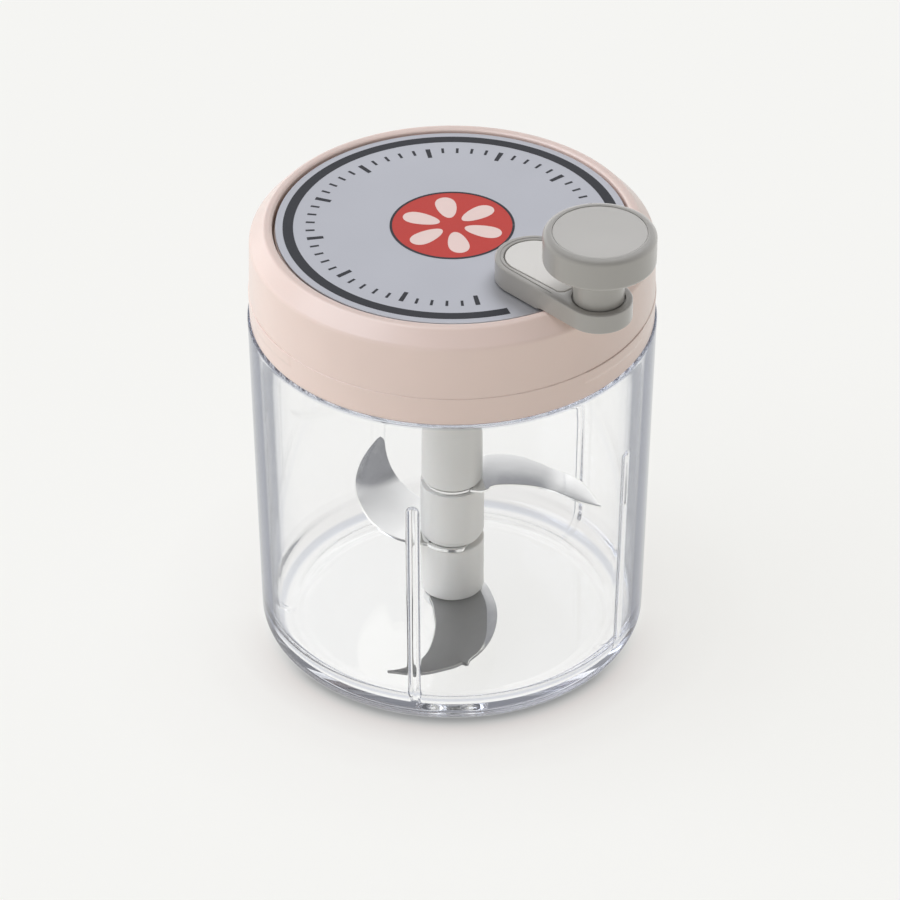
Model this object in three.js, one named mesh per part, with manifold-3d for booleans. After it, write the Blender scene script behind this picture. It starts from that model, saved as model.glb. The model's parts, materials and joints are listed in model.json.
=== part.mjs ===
// Crank food chopper: a clear bowl, a lid with a planetary drive and a folding crank, and a lift-out blade set.
// Millimetres, +Z up. The origin is the centre of the bowl's flat base; -Y is the front.
import * as THREE from "three";
import { mergeVertices } from "three/addons/utils/BufferGeometryUtils.js";
import Module from "manifold-3d";

const wasm = await Module();
wasm.setup();

// ---------- driving dimensions ----------
// bowl
const BOWL_R_WALL = 50.0; // outer radius just under the rim bead
const BOWL_R_RIM = 50.3; // rim bead
const BOWL_R_FOOT = 48.65; // outer radius just above the base corner
const BOWL_CORNER = 5.8; // outer base corner
const RIM_Z = 92.0; // top of the rim bead
const NECK_TOP = 98.3; // the neck stands inside the lid's band
const NECK_R = 48.3;
const FLOOR_Z = 3.0; // inner floor
const WALL_R_TOP = 47.3; // inner radius at the neck
const WALL_R_LOW = 46.0; // inner radius just above the floor corner
const FLOOR_R = 38.0; // radius of the flat inner floor
const RIB_N = 5; // upright ribs inside the wall
const RIB_AZ0 = -11.5; // azimuth of the front rib, from -Y towards +X, degrees
const RIB_R = 43.4; // inner radius of the ribs
const RIB_W = 2.8;
const RIB_TOP = 66.0;
const BOSS_R = 5.0;
const BOSS_TOP = 5.0;
// floor pin and pivot bush
const PIN_R = 2.2;
const PIN_TOP = 18.5;
const BUSH_R = 3.8;
const BUSH_TOP = 20.0;
// blade set
const HUB_R = 8.1;
const TUBE_R = 7.65;
const TUBE_TOP = 90.0;
const CORE_HEX_R = 6.0; // circumradius of the hexagonal core
const CORE_TOP = 58.0;
const BLADE_T = 0.8;
const BLADE_LOW_Z = 8.6;
const BLADE_MID_Z = 25.2;
const BLADE_UP_Z = 42.25;
const BLADE_MID_RISE = 0.15; // the middle blade climbs outwards
// lid
const SEAM_Z = 99.9; // joint between the lid's band and its cap
const LID_R_SEAM = 49.75;
const LID_R_SIDE = 49.45;
const LID_SHOULDER = 5.5;
const LID_TOP = 117.4;
const BAND_Z = 92.3; // lower edge of the band
const BAND_RI = 48.6;
const SPIGOT_R = 47.0; // the inner wall of the band's groove
const SPIGOT_RI = 46.1;
const KEY_AZ = [57, 177, 297]; // azimuth of the keys on the bowl's neck
// turntable and disc
const DISC_R = 43.2;
const DISC_Z = 116.8;
const OPENING_R = 43.7;
// gear train: fixed ring, three planets on the turntable, sun on the drive shaft
const MODULE = 1.3;
const Z_SUN = 18;
const Z_PLANET = 18;
const Z_RING = 54;
const CENTRE_DIST = (MODULE * (Z_SUN + Z_PLANET)) / 2; // 23.4
const GEAR_Z0 = 99.5;
const GEAR_Z1 = 106.3;
const TOOTH_THIN = 0.24; // taken off each tooth's thickness at the pitch circle
// crank
const CRANK_ANGLE = -50.1; // direction of the arm at rest, degrees from +X
const PIVOT_X = 30.5; // arm pivot, from the main axis along the arm
const KNOB_X = 53.46; // knob axis
const ARM_R1 = 9.5;
const ARM_R2 = 8.1;
const ARM_Z0 = 117.75;
const ARM_FOOT_Z = 117.1;
const ARM_TOP = 122.9;
const KNOB_R = 13.45;
const KNOB_SLEEVE_R = 6.05;
const KNOB_Z0 = 122.6;
const KNOB_HEAD_Z = 133.0;
const KNOB_TOP = 141.2;
// number of sides of large, middle and small round shapes
const N_BIG = 48;
const N_MID = 26;
const N_SMALL = 16;

const rad = (d) => (d * Math.PI) / 180;

// ---------- solids ----------
function solid(geometry) {
  let g = geometry.clone();
  g.deleteAttribute("normal");
  g.deleteAttribute("uv");
  g = mergeVertices(g, 1e-4);
  const pos = g.getAttribute("position").array;
  const idx = g.index.array;
  const tri = [];
  let volume = 0;
  const v = (i) => new THREE.Vector3(pos[3 * i], pos[3 * i + 1], pos[3 * i + 2]);
  for (let i = 0; i < idx.length; i += 3) {
    const [a, b, c] = [idx[i], idx[i + 1], idx[i + 2]];
    if (a === b || b === c || c === a) continue;
    tri.push(a, b, c);
    volume += v(a).dot(v(b).cross(v(c)));
  }
  if (volume < 0)
    for (let i = 0; i < tri.length; i += 3) [tri[i + 1], tri[i + 2]] = [tri[i + 2], tri[i + 1]];
  return new wasm.Manifold(
    new wasm.Mesh({ numProp: 3, vertProperties: new Float32Array(pos), triVerts: new Uint32Array(tri) }),
  );
}

function geometryOf(manifold) {
  const m = manifold.getMesh();
  const g = new THREE.BufferGeometry();
  const n = m.vertProperties.length / m.numProp;
  const p = new Float32Array(n * 3);
  for (let i = 0; i < n; i++)
    for (let k = 0; k < 3; k++) p[3 * i + k] = m.vertProperties[i * m.numProp + k];
  g.setAttribute("position", new THREE.BufferAttribute(p, 3));
  g.setIndex(new THREE.BufferAttribute(new Uint32Array(m.triVerts), 1));
  g.computeVertexNormals();
  return g;
}

// revolve a closed [r, z] profile about Z; one that starts and ends on the axis is closed there
function turned(profile, n = N_MID) {
  const pts = profile.map(([r, z]) => new THREE.Vector2(r, z));
  const last = profile[profile.length - 1];
  if (profile[0][0] > 0 || last[0] > 0) pts.push(pts[0].clone());
  const g = new THREE.LatheGeometry(pts, n);
  g.rotateX(Math.PI / 2);
  return solid(g);
}

const drum = (r, z0, z1, n = N_MID) => turned([[0, z0], [r, z0], [r, z1], [0, z1]], n);
const sleeve = (ri, ro, z0, z1, n = N_MID) => turned([[ri, z0], [ro, z0], [ro, z1], [ri, z1]], n);

function prism(points, z0, z1) {
  const shape = new THREE.Shape(points.map(([x, y]) => new THREE.Vector2(x, y)));
  const g = new THREE.ExtrudeGeometry(shape, { depth: z1 - z0, bevelEnabled: false, steps: 1 });
  g.translate(0, 0, z0);
  return solid(g);
}

const hexagon = (r, turn = 0) =>
  Array.from({ length: 6 }, (_, i) => [r * Math.cos(rad(60 * i + turn)), r * Math.sin(rad(60 * i + turn))]);
const hexBar = (r, z0, z1) => prism(hexagon(r), z0, z1);

// a block that stands on the ring at azimuth az (from -Y towards +X): radial span, width, height
function radialBlock(az, r0, r1, w, z0, z1) {
  const g = new THREE.BoxGeometry(w, r1 - r0, z1 - z0);
  g.translate(0, -(r0 + r1) / 2, (z0 + z1) / 2);
  g.rotateZ(rad(az));
  return solid(g);
}

// an arc of a ring between two azimuths
function arcBlock(az0, az1, r0, r1, z0, z1, steps = 6) {
  const pts = [];
  for (let i = 0; i <= steps; i++) {
    const a = rad(-90 + az0 + ((az1 - az0) * i) / steps);
    pts.push([r1 * Math.cos(a), r1 * Math.sin(a)]);
  }
  for (let i = steps; i >= 0; i--) {
    const a = rad(-90 + az0 + ((az1 - az0) * i) / steps);
    pts.push([r0 * Math.cos(a), r0 * Math.sin(a)]);
  }
  return prism(pts, z0, z1);
}

// outline around two circles of different size on the X axis
function egg(x1, r1, x2, r2, n = 14) {
  const lean = Math.asin((r1 - r2) / (x2 - x1));
  const pts = [];
  const a0 = Math.PI / 2 - lean;
  for (let i = 0; i <= n; i++) {
    const a = a0 + ((2 * Math.PI - 2 * a0) * i) / n;
    pts.push([x1 + r1 * Math.cos(a), r1 * Math.sin(a)]);
  }
  for (let i = 0; i <= n; i++) {
    const a = -a0 + (2 * a0 * i) / n;
    pts.push([x2 + r2 * Math.cos(a), r2 * Math.sin(a)]);
  }
  return pts;
}

// rounded at the pivot end, narrowing by lean degrees a side, with a square end at xe whose corners have radius rc
function panelOutline(x1, r1, xe, lean, rc) {
  const l = rad(lean);
  const pts = [];
  for (let i = 0; i <= 14; i++) {
    const a = Math.PI / 2 - l + ((Math.PI + 2 * l) * i) / 14;
    pts.push([x1 + r1 * Math.cos(a), r1 * Math.sin(a)]);
  }
  const half = (x) => r1 / Math.cos(l) - (x - x1) * Math.tan(l);
  const xc = xe - rc;
  const yc = half(xc) - rc / Math.cos(l);
  for (const [a0, a1, sy] of [[-90, 0, -1], [0, 90, 1]])
    for (let i = 0; i <= 4; i++) {
      const a = rad(a0 + ((a1 - a0) * i) / 4 - (sy < 0 ? lean * (1 - i / 4) : -lean * (i / 4)));
      pts.push([xc + rc * Math.cos(a), sy * yc + rc * Math.sin(a)]);
    }
  return pts;
}

// ---------- gear outlines ----------
const PRESSURE = rad(20);
const inv = (a) => Math.tan(a) - a;
// half angle of a tooth at radius r; s is the tooth thickness at the pitch radius rp
function halfAngle(rp, s, r, sign) {
  const rb = rp * Math.cos(PRESSURE);
  const al = r > rb ? Math.acos(rb / r) : 0;
  return s / (2 * rp) + sign * (inv(PRESSURE) - inv(al));
}
// external gear, a tooth centred on angle phase
function gearOutline(z, phase) {
  const rp = (MODULE * z) / 2;
  const s = (Math.PI * MODULE) / 2 - TOOTH_THIN;
  const ra = rp + 1.1;
  const rf = rp - 1.55;
  const rb = rp * Math.cos(PRESSURE);
  const pts = [];
  for (let i = 0; i < z; i++) {
    const c = phase + (2 * Math.PI * i) / z;
    const add = (r, h) => pts.push([r * Math.cos(c + h), r * Math.sin(c + h)]);
    const hb = halfAngle(rp, s, rb, 1);
    const hp = halfAngle(rp, s, rp - 0.1, 1);
    const ha = halfAngle(rp, s, ra, 1);
    add(rf, -hb);
    add(rp - 0.1, -hp);
    add(ra, -ha);
    add(ra, ha);
    add(rp - 0.1, hp);
    add(rf, hb);
  }
  return pts;
}
// the inner outline of a ring gear, a tooth (pointing in) centred on angle phase
function ringOutline(z, phase) {
  const rp = (MODULE * z) / 2;
  const s = (Math.PI * MODULE) / 2 - TOOTH_THIN;
  const ri = rp - 1.05;
  const ro = rp + 1.55;
  const pts = [];
  for (let i = 0; i < z; i++) {
    const c = phase + (2 * Math.PI * i) / z;
    const add = (r, h) => pts.push([r * Math.cos(c + h), r * Math.sin(c + h)]);
    const hi = halfAngle(rp, s, ri, -1);
    const ho = halfAngle(rp, s, ro, -1);
    add(ro, -ho);
    add(ri, -hi);
    add(ri, hi);
    add(ro, ho);
  }
  return pts;
}

// ---------- materials ----------
const mat = (color, roughness, metalness, opacity = 1) =>
  new THREE.MeshStandardMaterial({ color, roughness, metalness, opacity, transparent: opacity < 1 });
const clear = () => mat(0xe9edf2, 0.05, 0, 0.3);
const pink = () => mat(0xe6cdc4, 0.45, 0);
const grey = () => mat(0xb9b9b5, 0.5, 0);
const housing = () => mat(0x77787a, 0.5, 0);
const hubGrey = () => mat(0xd6d6d0, 0.45, 0);
const steel = () => mat(0xc8c9c8, 0.22, 1);
const disc = () => mat(0xbec2ce, 0.35, 0.8);
const silicone = () => mat(0xeceae4, 0.7, 0);
const acetal = () => mat(0xefece4, 0.4, 0);

const model = new THREE.Group();
model.name = "crank_food_chopper";

function put(group, name, shape, material) {
  const mesh = new THREE.Mesh(geometryOf(shape), material);
  mesh.name = name;
  group.add(mesh);
  return mesh;
}

// ---------- bowl ----------
{
  const p = [[0, 0]];
  for (let i = 0; i <= 4; i++) {
    const a = (Math.PI / 2) * (i / 4);
    p.push([BOWL_R_FOOT - BOWL_CORNER + BOWL_CORNER * Math.sin(a), BOWL_CORNER - BOWL_CORNER * Math.cos(a)]);
  }
  p.push([BOWL_R_WALL, RIM_Z - 4.1], [BOWL_R_RIM, RIM_Z - 3.5], [BOWL_R_RIM, RIM_Z - 0.3], [BOWL_R_RIM - 0.3, RIM_Z]);
  p.push([NECK_R, RIM_Z], [NECK_R, NECK_TOP - 0.3], [NECK_R - 0.3, NECK_TOP], [WALL_R_TOP, NECK_TOP], [WALL_R_TOP, 91.0]);
  for (let i = 0; i <= 3; i++) {
    const a = (Math.PI / 2) * (i / 3);
    p.push([FLOOR_R + (WALL_R_LOW - FLOOR_R) * Math.cos(a), FLOOR_Z + 8 - 8 * Math.sin(a)]);
  }
  p.push([BOSS_R, FLOOR_Z], [BOSS_R - 0.3, BOSS_TOP], [PIN_R + 0.3, BOSS_TOP], [PIN_R + 0.3, 1.5], [0, 1.5]);
  let bowl = turned(p, N_BIG);
  // upright ribs, rounded at the top
  for (let k = 0; k < RIB_N; k++) {
    const side = [
      [RIB_R, 2], [46, 2], [47, 12], [47.2, RIB_TOP], [RIB_R + 1.9, RIB_TOP],
      [RIB_R + 0.6, RIB_TOP - 0.8], [RIB_R, RIB_TOP - 2.4],
    ];
    const shape = new THREE.Shape(side.map(([r, z]) => new THREE.Vector2(r, z)));
    const g = new THREE.ExtrudeGeometry(shape, { depth: RIB_W, bevelEnabled: false });
    g.translate(0, 0, -RIB_W / 2);
    g.rotateX(Math.PI / 2); // x: radial, z: up
    g.rotateZ(rad(-90 + RIB_AZ0 + (360 / RIB_N) * k));
    bowl = bowl.add(solid(g));
  }
  // keys on the neck that the lid's grooves drop over
  for (const az of KEY_AZ) bowl = bowl.add(radialBlock(az, 48.0, 48.85, 3.0, 93.0, 98.0));
  put(model, "bowl", bowl, clear());
}
put(
  model,
  "floor_pin",
  turned([[0, 1.8], [PIN_R, 1.8], [PIN_R, PIN_TOP - 1], [PIN_R - 0.5, PIN_TOP - 0.3], [PIN_R - 1.2, PIN_TOP], [0, PIN_TOP]], N_SMALL),
  steel(),
);

// ---------- pivot bush: a closed sleeve that stands over the pin ----------
put(
  model,
  "pivot_bush",
  turned(
    [
      [0, 19.0], [PIN_R + 0.3, 19.0], [PIN_R + 0.3, 5.3], [BUSH_R, 5.3], [BUSH_R, BUSH_TOP - 0.4], [BUSH_R - 0.4, BUSH_TOP],
      [0, BUSH_TOP],
    ],
    N_SMALL,
  ),
  acetal(),
);

// ---------- blade set ----------
const bore = (r, z0, z1, n = N_SMALL) => drum(r, z0, z1, n);
const coreBore = (z0, z1) => hexBar(CORE_HEX_R + 0.35, z0, z1);
{
  let core = hexBar(CORE_HEX_R, 8.4, CORE_TOP).add(drum(4.95, 5.5, 8.5, 24));
  core = core.subtract(bore(BUSH_R + 0.3, 4, BUSH_TOP + 0.4));
  put(model, "core_post", core, steel());
}
put(model, "hub_nut", sleeve(5.3, 7.3, 5.5, 8.2, 24), hubGrey());

// blade outlines, seen from above, in the pose of the photograph
const UPPER = [
  [4.5, 6.8], [9.2, 10.4], [11.7, 10.7], [14.8, 10.5], [18.1, 9.6], [20.3, 8.2], [22.9, 6.5], [24.8, 4.9], [27.4, 3.1],
  [29.8, 1.4], [32.1, -0.9], [33.8, -3.7], [35.4, -7.4], [36.5, -10.9], [36.9, -12.2], [36.7, -12.9], [36.0, -13.0],
  [33.6, -11.9], [31.7, -10.9], [29.8, -9.6], [27.2, -7.6], [24.5, -5.8], [21.8, -4.6], [19.0, -3.9], [15.8, -3.5],
  [12.5, -3.5], [10.6, -3.8], [9.6, -4.4], [9.0, -5.4], [7.4, -6.2], [4.5, -6.0],
];
const MIDDLE = [
  [-2.5, 7.2], [-5.6, 10.2], [-8.6, 13.6], [-11.4, 16.3], [-13.6, 19.3], [-15.4, 22.7], [-16.8, 27.1], [-17.4, 30.4],
  [-17.8, 33.6], [-18.2, 34.6], [-19.0, 35.0], [-19.8, 34.5], [-21.2, 32.0], [-22.7, 28.8], [-23.9, 25.5], [-24.8, 21.5],
  [-25.2, 17.2], [-24.9, 13.3], [-23.7, 9.0], [-22.0, 4.8], [-19.9, 1.0], [-17.3, -1.9], [-14.2, -4.0], [-11.7, -4.9],
  [-8.6, -5.4], [-5.5, -5.6],
];
const LOWER = [
  [-6.0, -4.6], [-5.8, -5.8], [-5.1, -8.9], [-4.6, -13.0], [-4.3, -17.5], [-4.6, -21.4], [-5.3, -25.6], [-6.4, -29.3],
  [-7.9, -32.0], [-9.9, -34.1], [-11.8, -35.3], [-14.0, -36.1], [-15.8, -36.4], [-15.5, -36.8], [-13.5, -37.1],
  [-11.1, -37.6], [-8.1, -37.7], [-5.4, -37.2], [-3.5, -36.5], [0.5, -34.8], [3.6, -32.6], [6.5, -29.3], [8.7, -25.4],
  [10.3, -20.8], [11.3, -14.6], [11.2, -9.2], [10.2, -4.2], [8.6, 0.6], [6.0, 4.5],
];
// root of a blade: round, or with its front right side cut off along a chord
function root(z0, cut) {
  const pts = [];
  for (let i = 0; i < 28; i++) {
    const a = rad((360 * i) / 28);
    let [x, y] = [8.1 * Math.cos(a), 8.1 * Math.sin(a)];
    if (cut && a > 1.5 * Math.PI && x > 2.9) continue;
    if (cut && a < rad(30)) continue;
    pts.push([x, y]);
    if (cut && i === 27 - 6) pts.push([2.9, -7.6]);
  }
  if (cut) pts.push([5.8, -2.6], [6.6, 0.5], [6.9, 4.0]);
  const hull = wasm.CrossSection.hull([pts]);
  return hull.extrude(BLADE_T).translate([0, 0, z0]);
}
function blade(points, z0, rise = 0, cut = false) {
  let b = prism(points, z0, z0 + BLADE_T).add(root(z0, cut));
  b = b.subtract(coreBore(z0 - 1, z0 + BLADE_T + 1));
  if (!rise) return b;
  return b.refineToLength(9).warp((v) => {
    v[2] += rise * Math.max(0, Math.hypot(v[0], v[1]) - 9);
  });
}
put(model, "blade_lower", blade(LOWER, BLADE_LOW_Z), steel());
put(model, "spacer_lower", drum(HUB_R, 9.7, 24.9).subtract(coreBore(9, 26)), hubGrey());
put(model, "blade_middle", blade(MIDDLE, BLADE_MID_Z, BLADE_MID_RISE, true), steel());
put(model, "spacer_ring", drum(7.4, 26.3, 27.0).subtract(coreBore(26, 28)), hubGrey());
put(model, "spacer_middle", drum(HUB_R, 27.3, 41.95).subtract(coreBore(27, 43)), hubGrey());
put(model, "blade_upper", blade(UPPER, BLADE_UP_Z), steel());
put(
  model,
  "drive_tube",
  turned([[0, 43.35], [TUBE_R, 43.35], [TUBE_R, TUBE_TOP - 0.6], [TUBE_R - 0.6, TUBE_TOP], [0, TUBE_TOP]])
    .subtract(coreBore(43, CORE_TOP + 0.3))
    .subtract(hexBar(4.97, 74, 91)),
  hubGrey(),
);

// ---------- lid ----------
{
  const p = [[LID_R_SEAM - 0.3, SEAM_Z], [LID_R_SEAM, SEAM_Z + 0.3], [LID_R_SIDE, LID_TOP - LID_SHOULDER]];
  const rc = LID_R_SIDE - LID_SHOULDER;
  for (let i = 1; i <= 5; i++) {
    const a = (Math.PI / 2) * (1 - i / 5);
    p.push([rc + LID_SHOULDER * Math.sin(a), LID_TOP - LID_SHOULDER + LID_SHOULDER * Math.cos(a)]);
  }
  p.push([OPENING_R, LID_TOP - 0.25], [OPENING_R, 113.7], [46.6, 113.7], [47.2, 113.0], [47.2, 101.5], [49.1, 101.5]);
  p.push([49.1, SEAM_Z]);
  put(model, "lid_cap", turned(p, N_BIG), pink());
}
// lower housing: the band that is seen under the seam, a groove for the bowl's neck, and the screw bosses
{
  let ring = turned(
    [
      [BAND_RI, BAND_Z], [LID_R_SEAM - 0.3, BAND_Z], [LID_R_SEAM, BAND_Z + 0.3], [LID_R_SEAM, SEAM_Z - 0.5],
      [LID_R_SEAM - 0.2, SEAM_Z - 0.3], [48.8, SEAM_Z - 0.3], [48.8, 101.2], [SPIGOT_RI, 101.2], [SPIGOT_RI, 93.0],
      [SPIGOT_RI + 0.3, 92.7], [SPIGOT_R - 0.3, 92.7], [SPIGOT_R, 93.0], [SPIGOT_R, 99.3], [BAND_RI, 99.3],
    ],
    N_BIG,
  );
  for (const az of KEY_AZ) {
    ring = ring.subtract(radialBlock(az, 48.3, 49.2, 3.7, 91.5, 98.4));
    // screw boss with its web
    const a = rad(-90 + az + 60);
    let b = drum(2.5, 96.5, 101.2, 16).subtract(drum(1.4, 96.0, 100.9, 12));
    b = b.translate([42.9 * Math.cos(a), 42.9 * Math.sin(a), 0]);
    ring = ring.add(radialBlock(az + 60, 44.9, 46.5, 2.2, 96.5, 101.2)).add(b);
  }
  put(model, "lid_ring", ring, pink());
}
put(model, "seal_ring", sleeve(47.35, 48.25, 98.6, 99.0, N_BIG), silicone());
{
  let tray = turned(
    [
      [7.5, 91.2], [10.0, 91.2], [10.0, 93.6], [45.8, 93.6], [45.8, 96.2], [39.5, 96.2], [39.5, 95.2], [10.0, 95.2],
      [10.0, 98.0], [7.5, 98.0],
    ],
    N_BIG,
  );
  KEY_AZ.forEach((az, i) => {
    const a = rad(-90 + az + 60);
    const at = [42.9 * Math.cos(a), 42.9 * Math.sin(a), 0];
    tray = tray.subtract(drum(1.5, 93, 97, 12).translate(at)).subtract(drum(2.85, 93, 94.8, 16).translate(at));
    const screw = turned([[0, 93.3], [1.7, 93.3], [2.5, 94.0], [2.5, 94.5], [1.05, 94.5], [1.05, 100.1], [0, 100.6]], 14);
    const m = put(model, "tray_screw_" + (i + 1), screw, steel());
    m.position.set(at[0], at[1], 0);
  });
  put(model, "gear_tray", tray, housing());
}
put(model, "drive_bush", sleeve(5.8, 7.2, 91.6, 98.0, 24), acetal());
{
  const r = (MODULE * Z_RING) / 2 + 4.1;
  const hole = prism(ringOutline(Z_RING, rad(CRANK_ANGLE + 60)), 95, 107);
  put(model, "ring_gear", drum(r, 95.5, 106.6, N_BIG).subtract(hole), acetal());
}

// ---------- drive shaft and sun gear ----------
{
  let shaft = hexBar(4.62, 76, 91.6).add(drum(5.5, 91.5, 98.4, 24)).add(drum(7.0, 98.3, 99.2, 24));
  shaft = shaft.add(hexBar(5.77, 99.1, 106.3)).add(drum(2.5, 106.2, 111.9, N_SMALL));
  put(model, "drive_shaft", shaft, hubGrey());
  const sun = prism(gearOutline(Z_SUN, rad(CRANK_ANGLE + 60)), GEAR_Z0, GEAR_Z1).subtract(hexBar(6.1, 99, 107));
  put(model, "sun_gear", sun, acetal());
}

// ---------- turntable with its planets; local +X points along the crank ----------
const crank = new THREE.Group();
crank.rotation.z = rad(CRANK_ANGLE);
model.add(crank);
{
  let t = turned(
    [
      [0, 115.8], [DISC_R, 115.8], [DISC_R, 113.4], [45.2, 113.3], [45.2, 111.2], [41.2, 111.2], [41.2, 113.2],
      [39.2, 113.2], [39.2, 106.9], [37.6, 106.9], [37.6, 113.2], [6.0, 113.2], [6.0, 107.2], [2.8, 107.2],
      [2.8, 112.3], [0, 112.3],
    ],
    N_BIG,
  );
  t = t.add(drum(6.2, 109.6, 113.4, 24).translate([PIVOT_X, 0, 0]));
  t = t.subtract(drum(3.8, 109, 117, N_SMALL).translate([PIVOT_X, 0, 0]));
  for (let i = 0; i < 3; i++) {
    const a = rad(60 + 120 * i);
    const at = [CENTRE_DIST * Math.cos(a), CENTRE_DIST * Math.sin(a), 0];
    t = t.add(drum(4.2, 107.2, 113.4, 20).translate(at)).subtract(drum(2.7, 106, 112.6, N_SMALL).translate(at));
    const pinShape = turned([[0, 98.3], [4.0, 98.3], [4.0, 99.2], [2.4, 99.2], [2.4, 112.3], [0, 112.3]], N_SMALL);
    put(crank, "planet_pin_" + (i + 1), pinShape, steel()).position.set(at[0], at[1], 0);
    const gear = prism(gearOutline(Z_PLANET, a + rad(180 / Z_PLANET)), GEAR_Z0, GEAR_Z1);
    put(crank, "planet_gear_" + (i + 1), gear.subtract(drum(2.7, 99, 107, N_SMALL)), acetal()).position.set(at[0], at[1], 0);
  }
  put(crank, "turntable", t, pink());
}
put(crank, "disc_plate", drum(DISC_R, 116.1, DISC_Z, N_BIG).subtract(drum(4.0, 116, 117, N_SMALL).translate([PIVOT_X, 0, 0])), disc());

// arm pivot
{
  const p = turned([[0, 107.7], [3.2, 107.7], [3.5, 108.0], [3.5, 120.2], [5.6, 120.2], [5.6, 121.0], [5.2, 121.4], [0, 121.4]], N_SMALL);
  put(crank, "arm_pivot_pin", p, steel()).position.set(PIVOT_X, 0, 0);
  put(crank, "pivot_clip", sleeve(3.8, 5.8, 108.0, 109.2, N_SMALL), steel()).position.set(PIVOT_X, 0, 0);
}

// ---------- folding arm ----------
{
  let arm = prism(egg(PIVOT_X, ARM_R1 - 0.5, KNOB_X, ARM_R2 - 0.5, 11), ARM_TOP - 0.6, ARM_TOP);
  arm = arm.add(prism(egg(PIVOT_X, ARM_R1, KNOB_X, ARM_R2, 11), ARM_Z0, ARM_TOP - 0.5));
  // foot that rides on the disc; its front end follows the disc's edge
  const lobe = drum(12.9, 116, 119, 40).translate([PIVOT_X, 0, 0]);
  const front = drum(42.75, 116, 119, 96).intersect(prism([[34, -12], [44, -12], [44, -4], [34, -4]], 116, 119));
  const foot = prism(egg(PIVOT_X, ARM_R1, KNOB_X, ARM_R2, 11), ARM_FOOT_Z, ARM_Z0 + 0.1).intersect(lobe.add(front));
  arm = arm.add(foot);
  arm = arm.subtract(prism(panelOutline(PIVOT_X, 7.4, 46.65, 5.4, 1.4), 121.7, 124));
  arm = arm.subtract(drum(6.0, 119.9, 124, 24).translate([PIVOT_X, 0, 0]));
  arm = arm.subtract(drum(3.8, 116, 124, N_SMALL).translate([PIVOT_X, 0, 0]));
  arm = arm.subtract(drum(6.5, 122.3, 124, 28).translate([KNOB_X, 0, 0]));
  arm = arm.subtract(drum(3.2, 117, 124, N_SMALL).translate([KNOB_X, 0, 0]));
  arm = arm.subtract(drum(4.9, 117, 119.7, N_SMALL).translate([KNOB_X, 0, 0]));
  put(crank, "crank_arm", arm, grey());
  put(crank, "arm_insert", prism(panelOutline(PIVOT_X, 7.05, 46.3, 5.4, 1.1), 122.0, ARM_TOP), grey());
  const post = turned([[0, 118.4], [4.6, 118.4], [4.6, 119.4], [2.9, 119.4], [2.9, 137.0], [0, 137.0]], N_SMALL);
  put(crank, "knob_post", post.subtract(drum(1.7, 127.5, 138, 14)), steel()).position.set(KNOB_X, 0, 0);
  const screw = turned([[0, 128.2], [1.4, 128.6], [1.4, 137.3], [4.6, 137.3], [4.6, 138.5], [3.6, 139.3], [0, 139.3]], N_SMALL);
  put(crank, "knob_screw", screw, steel()).position.set(KNOB_X, 0, 0);
}

// ---------- knob ----------
{
  const p = [[3.2, KNOB_Z0], [KNOB_SLEEVE_R, KNOB_Z0], [KNOB_SLEEVE_R, KNOB_HEAD_Z]];
  p.push([KNOB_R - 0.6, KNOB_HEAD_Z], [KNOB_R, KNOB_HEAD_Z + 0.6]);
  for (let i = 0; i <= 3; i++) {
    const a = (Math.PI / 2) * (i / 3);
    p.push([KNOB_R - 1.75 + 1.75 * Math.cos(a), KNOB_TOP - 1.75 + 1.75 * Math.sin(a)]);
  }
  p.push([11.95, KNOB_TOP - 1.3], [5.4, KNOB_TOP - 1.3], [5.4, 136.9], [3.2, 136.9]);
  put(crank, "knob", turned(p, 32), grey()).position.set(KNOB_X, 0, 0);
  put(crank, "knob_cap", turned([[0, 140.2], [11.65, 140.2], [11.65, KNOB_TOP - 0.1], [11.45, KNOB_TOP], [0, KNOB_TOP]], 32), grey()).position.set(KNOB_X, 0, 0);
}

export default model;
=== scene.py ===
"""Crank food chopper: the looks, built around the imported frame. Lengths here are millimetres until MM turns them into metres."""
import json
import math

import bmesh
import bpy
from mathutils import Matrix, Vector
from mathutils.geometry import tessellate_polygon

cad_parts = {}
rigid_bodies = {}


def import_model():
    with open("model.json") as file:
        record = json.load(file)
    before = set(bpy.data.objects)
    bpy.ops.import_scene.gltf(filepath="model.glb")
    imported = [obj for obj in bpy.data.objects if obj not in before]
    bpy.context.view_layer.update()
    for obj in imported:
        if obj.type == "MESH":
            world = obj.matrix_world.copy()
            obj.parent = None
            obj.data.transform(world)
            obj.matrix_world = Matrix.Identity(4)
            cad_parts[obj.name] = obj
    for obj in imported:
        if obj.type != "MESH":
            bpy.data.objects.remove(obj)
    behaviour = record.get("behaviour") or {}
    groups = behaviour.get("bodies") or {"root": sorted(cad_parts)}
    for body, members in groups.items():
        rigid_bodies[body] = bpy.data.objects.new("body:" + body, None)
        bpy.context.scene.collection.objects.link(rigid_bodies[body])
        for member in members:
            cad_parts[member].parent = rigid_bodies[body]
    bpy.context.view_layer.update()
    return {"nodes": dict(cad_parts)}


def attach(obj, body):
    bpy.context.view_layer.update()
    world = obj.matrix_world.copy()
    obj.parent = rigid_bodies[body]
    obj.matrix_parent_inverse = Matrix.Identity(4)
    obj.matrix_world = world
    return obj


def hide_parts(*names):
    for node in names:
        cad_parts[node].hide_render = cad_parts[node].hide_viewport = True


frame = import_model()

MM = 0.001
rad = math.radians
CRANK = rad(-50.1)  # direction of the arm at rest
PIVOT = 30.5
KNOB = 53.46
RIB_AZ = [-11.5 + 72 * k for k in range(5)]
KEY_AZ = [57, 177, 297]

scene = bpy.context.scene


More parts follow.
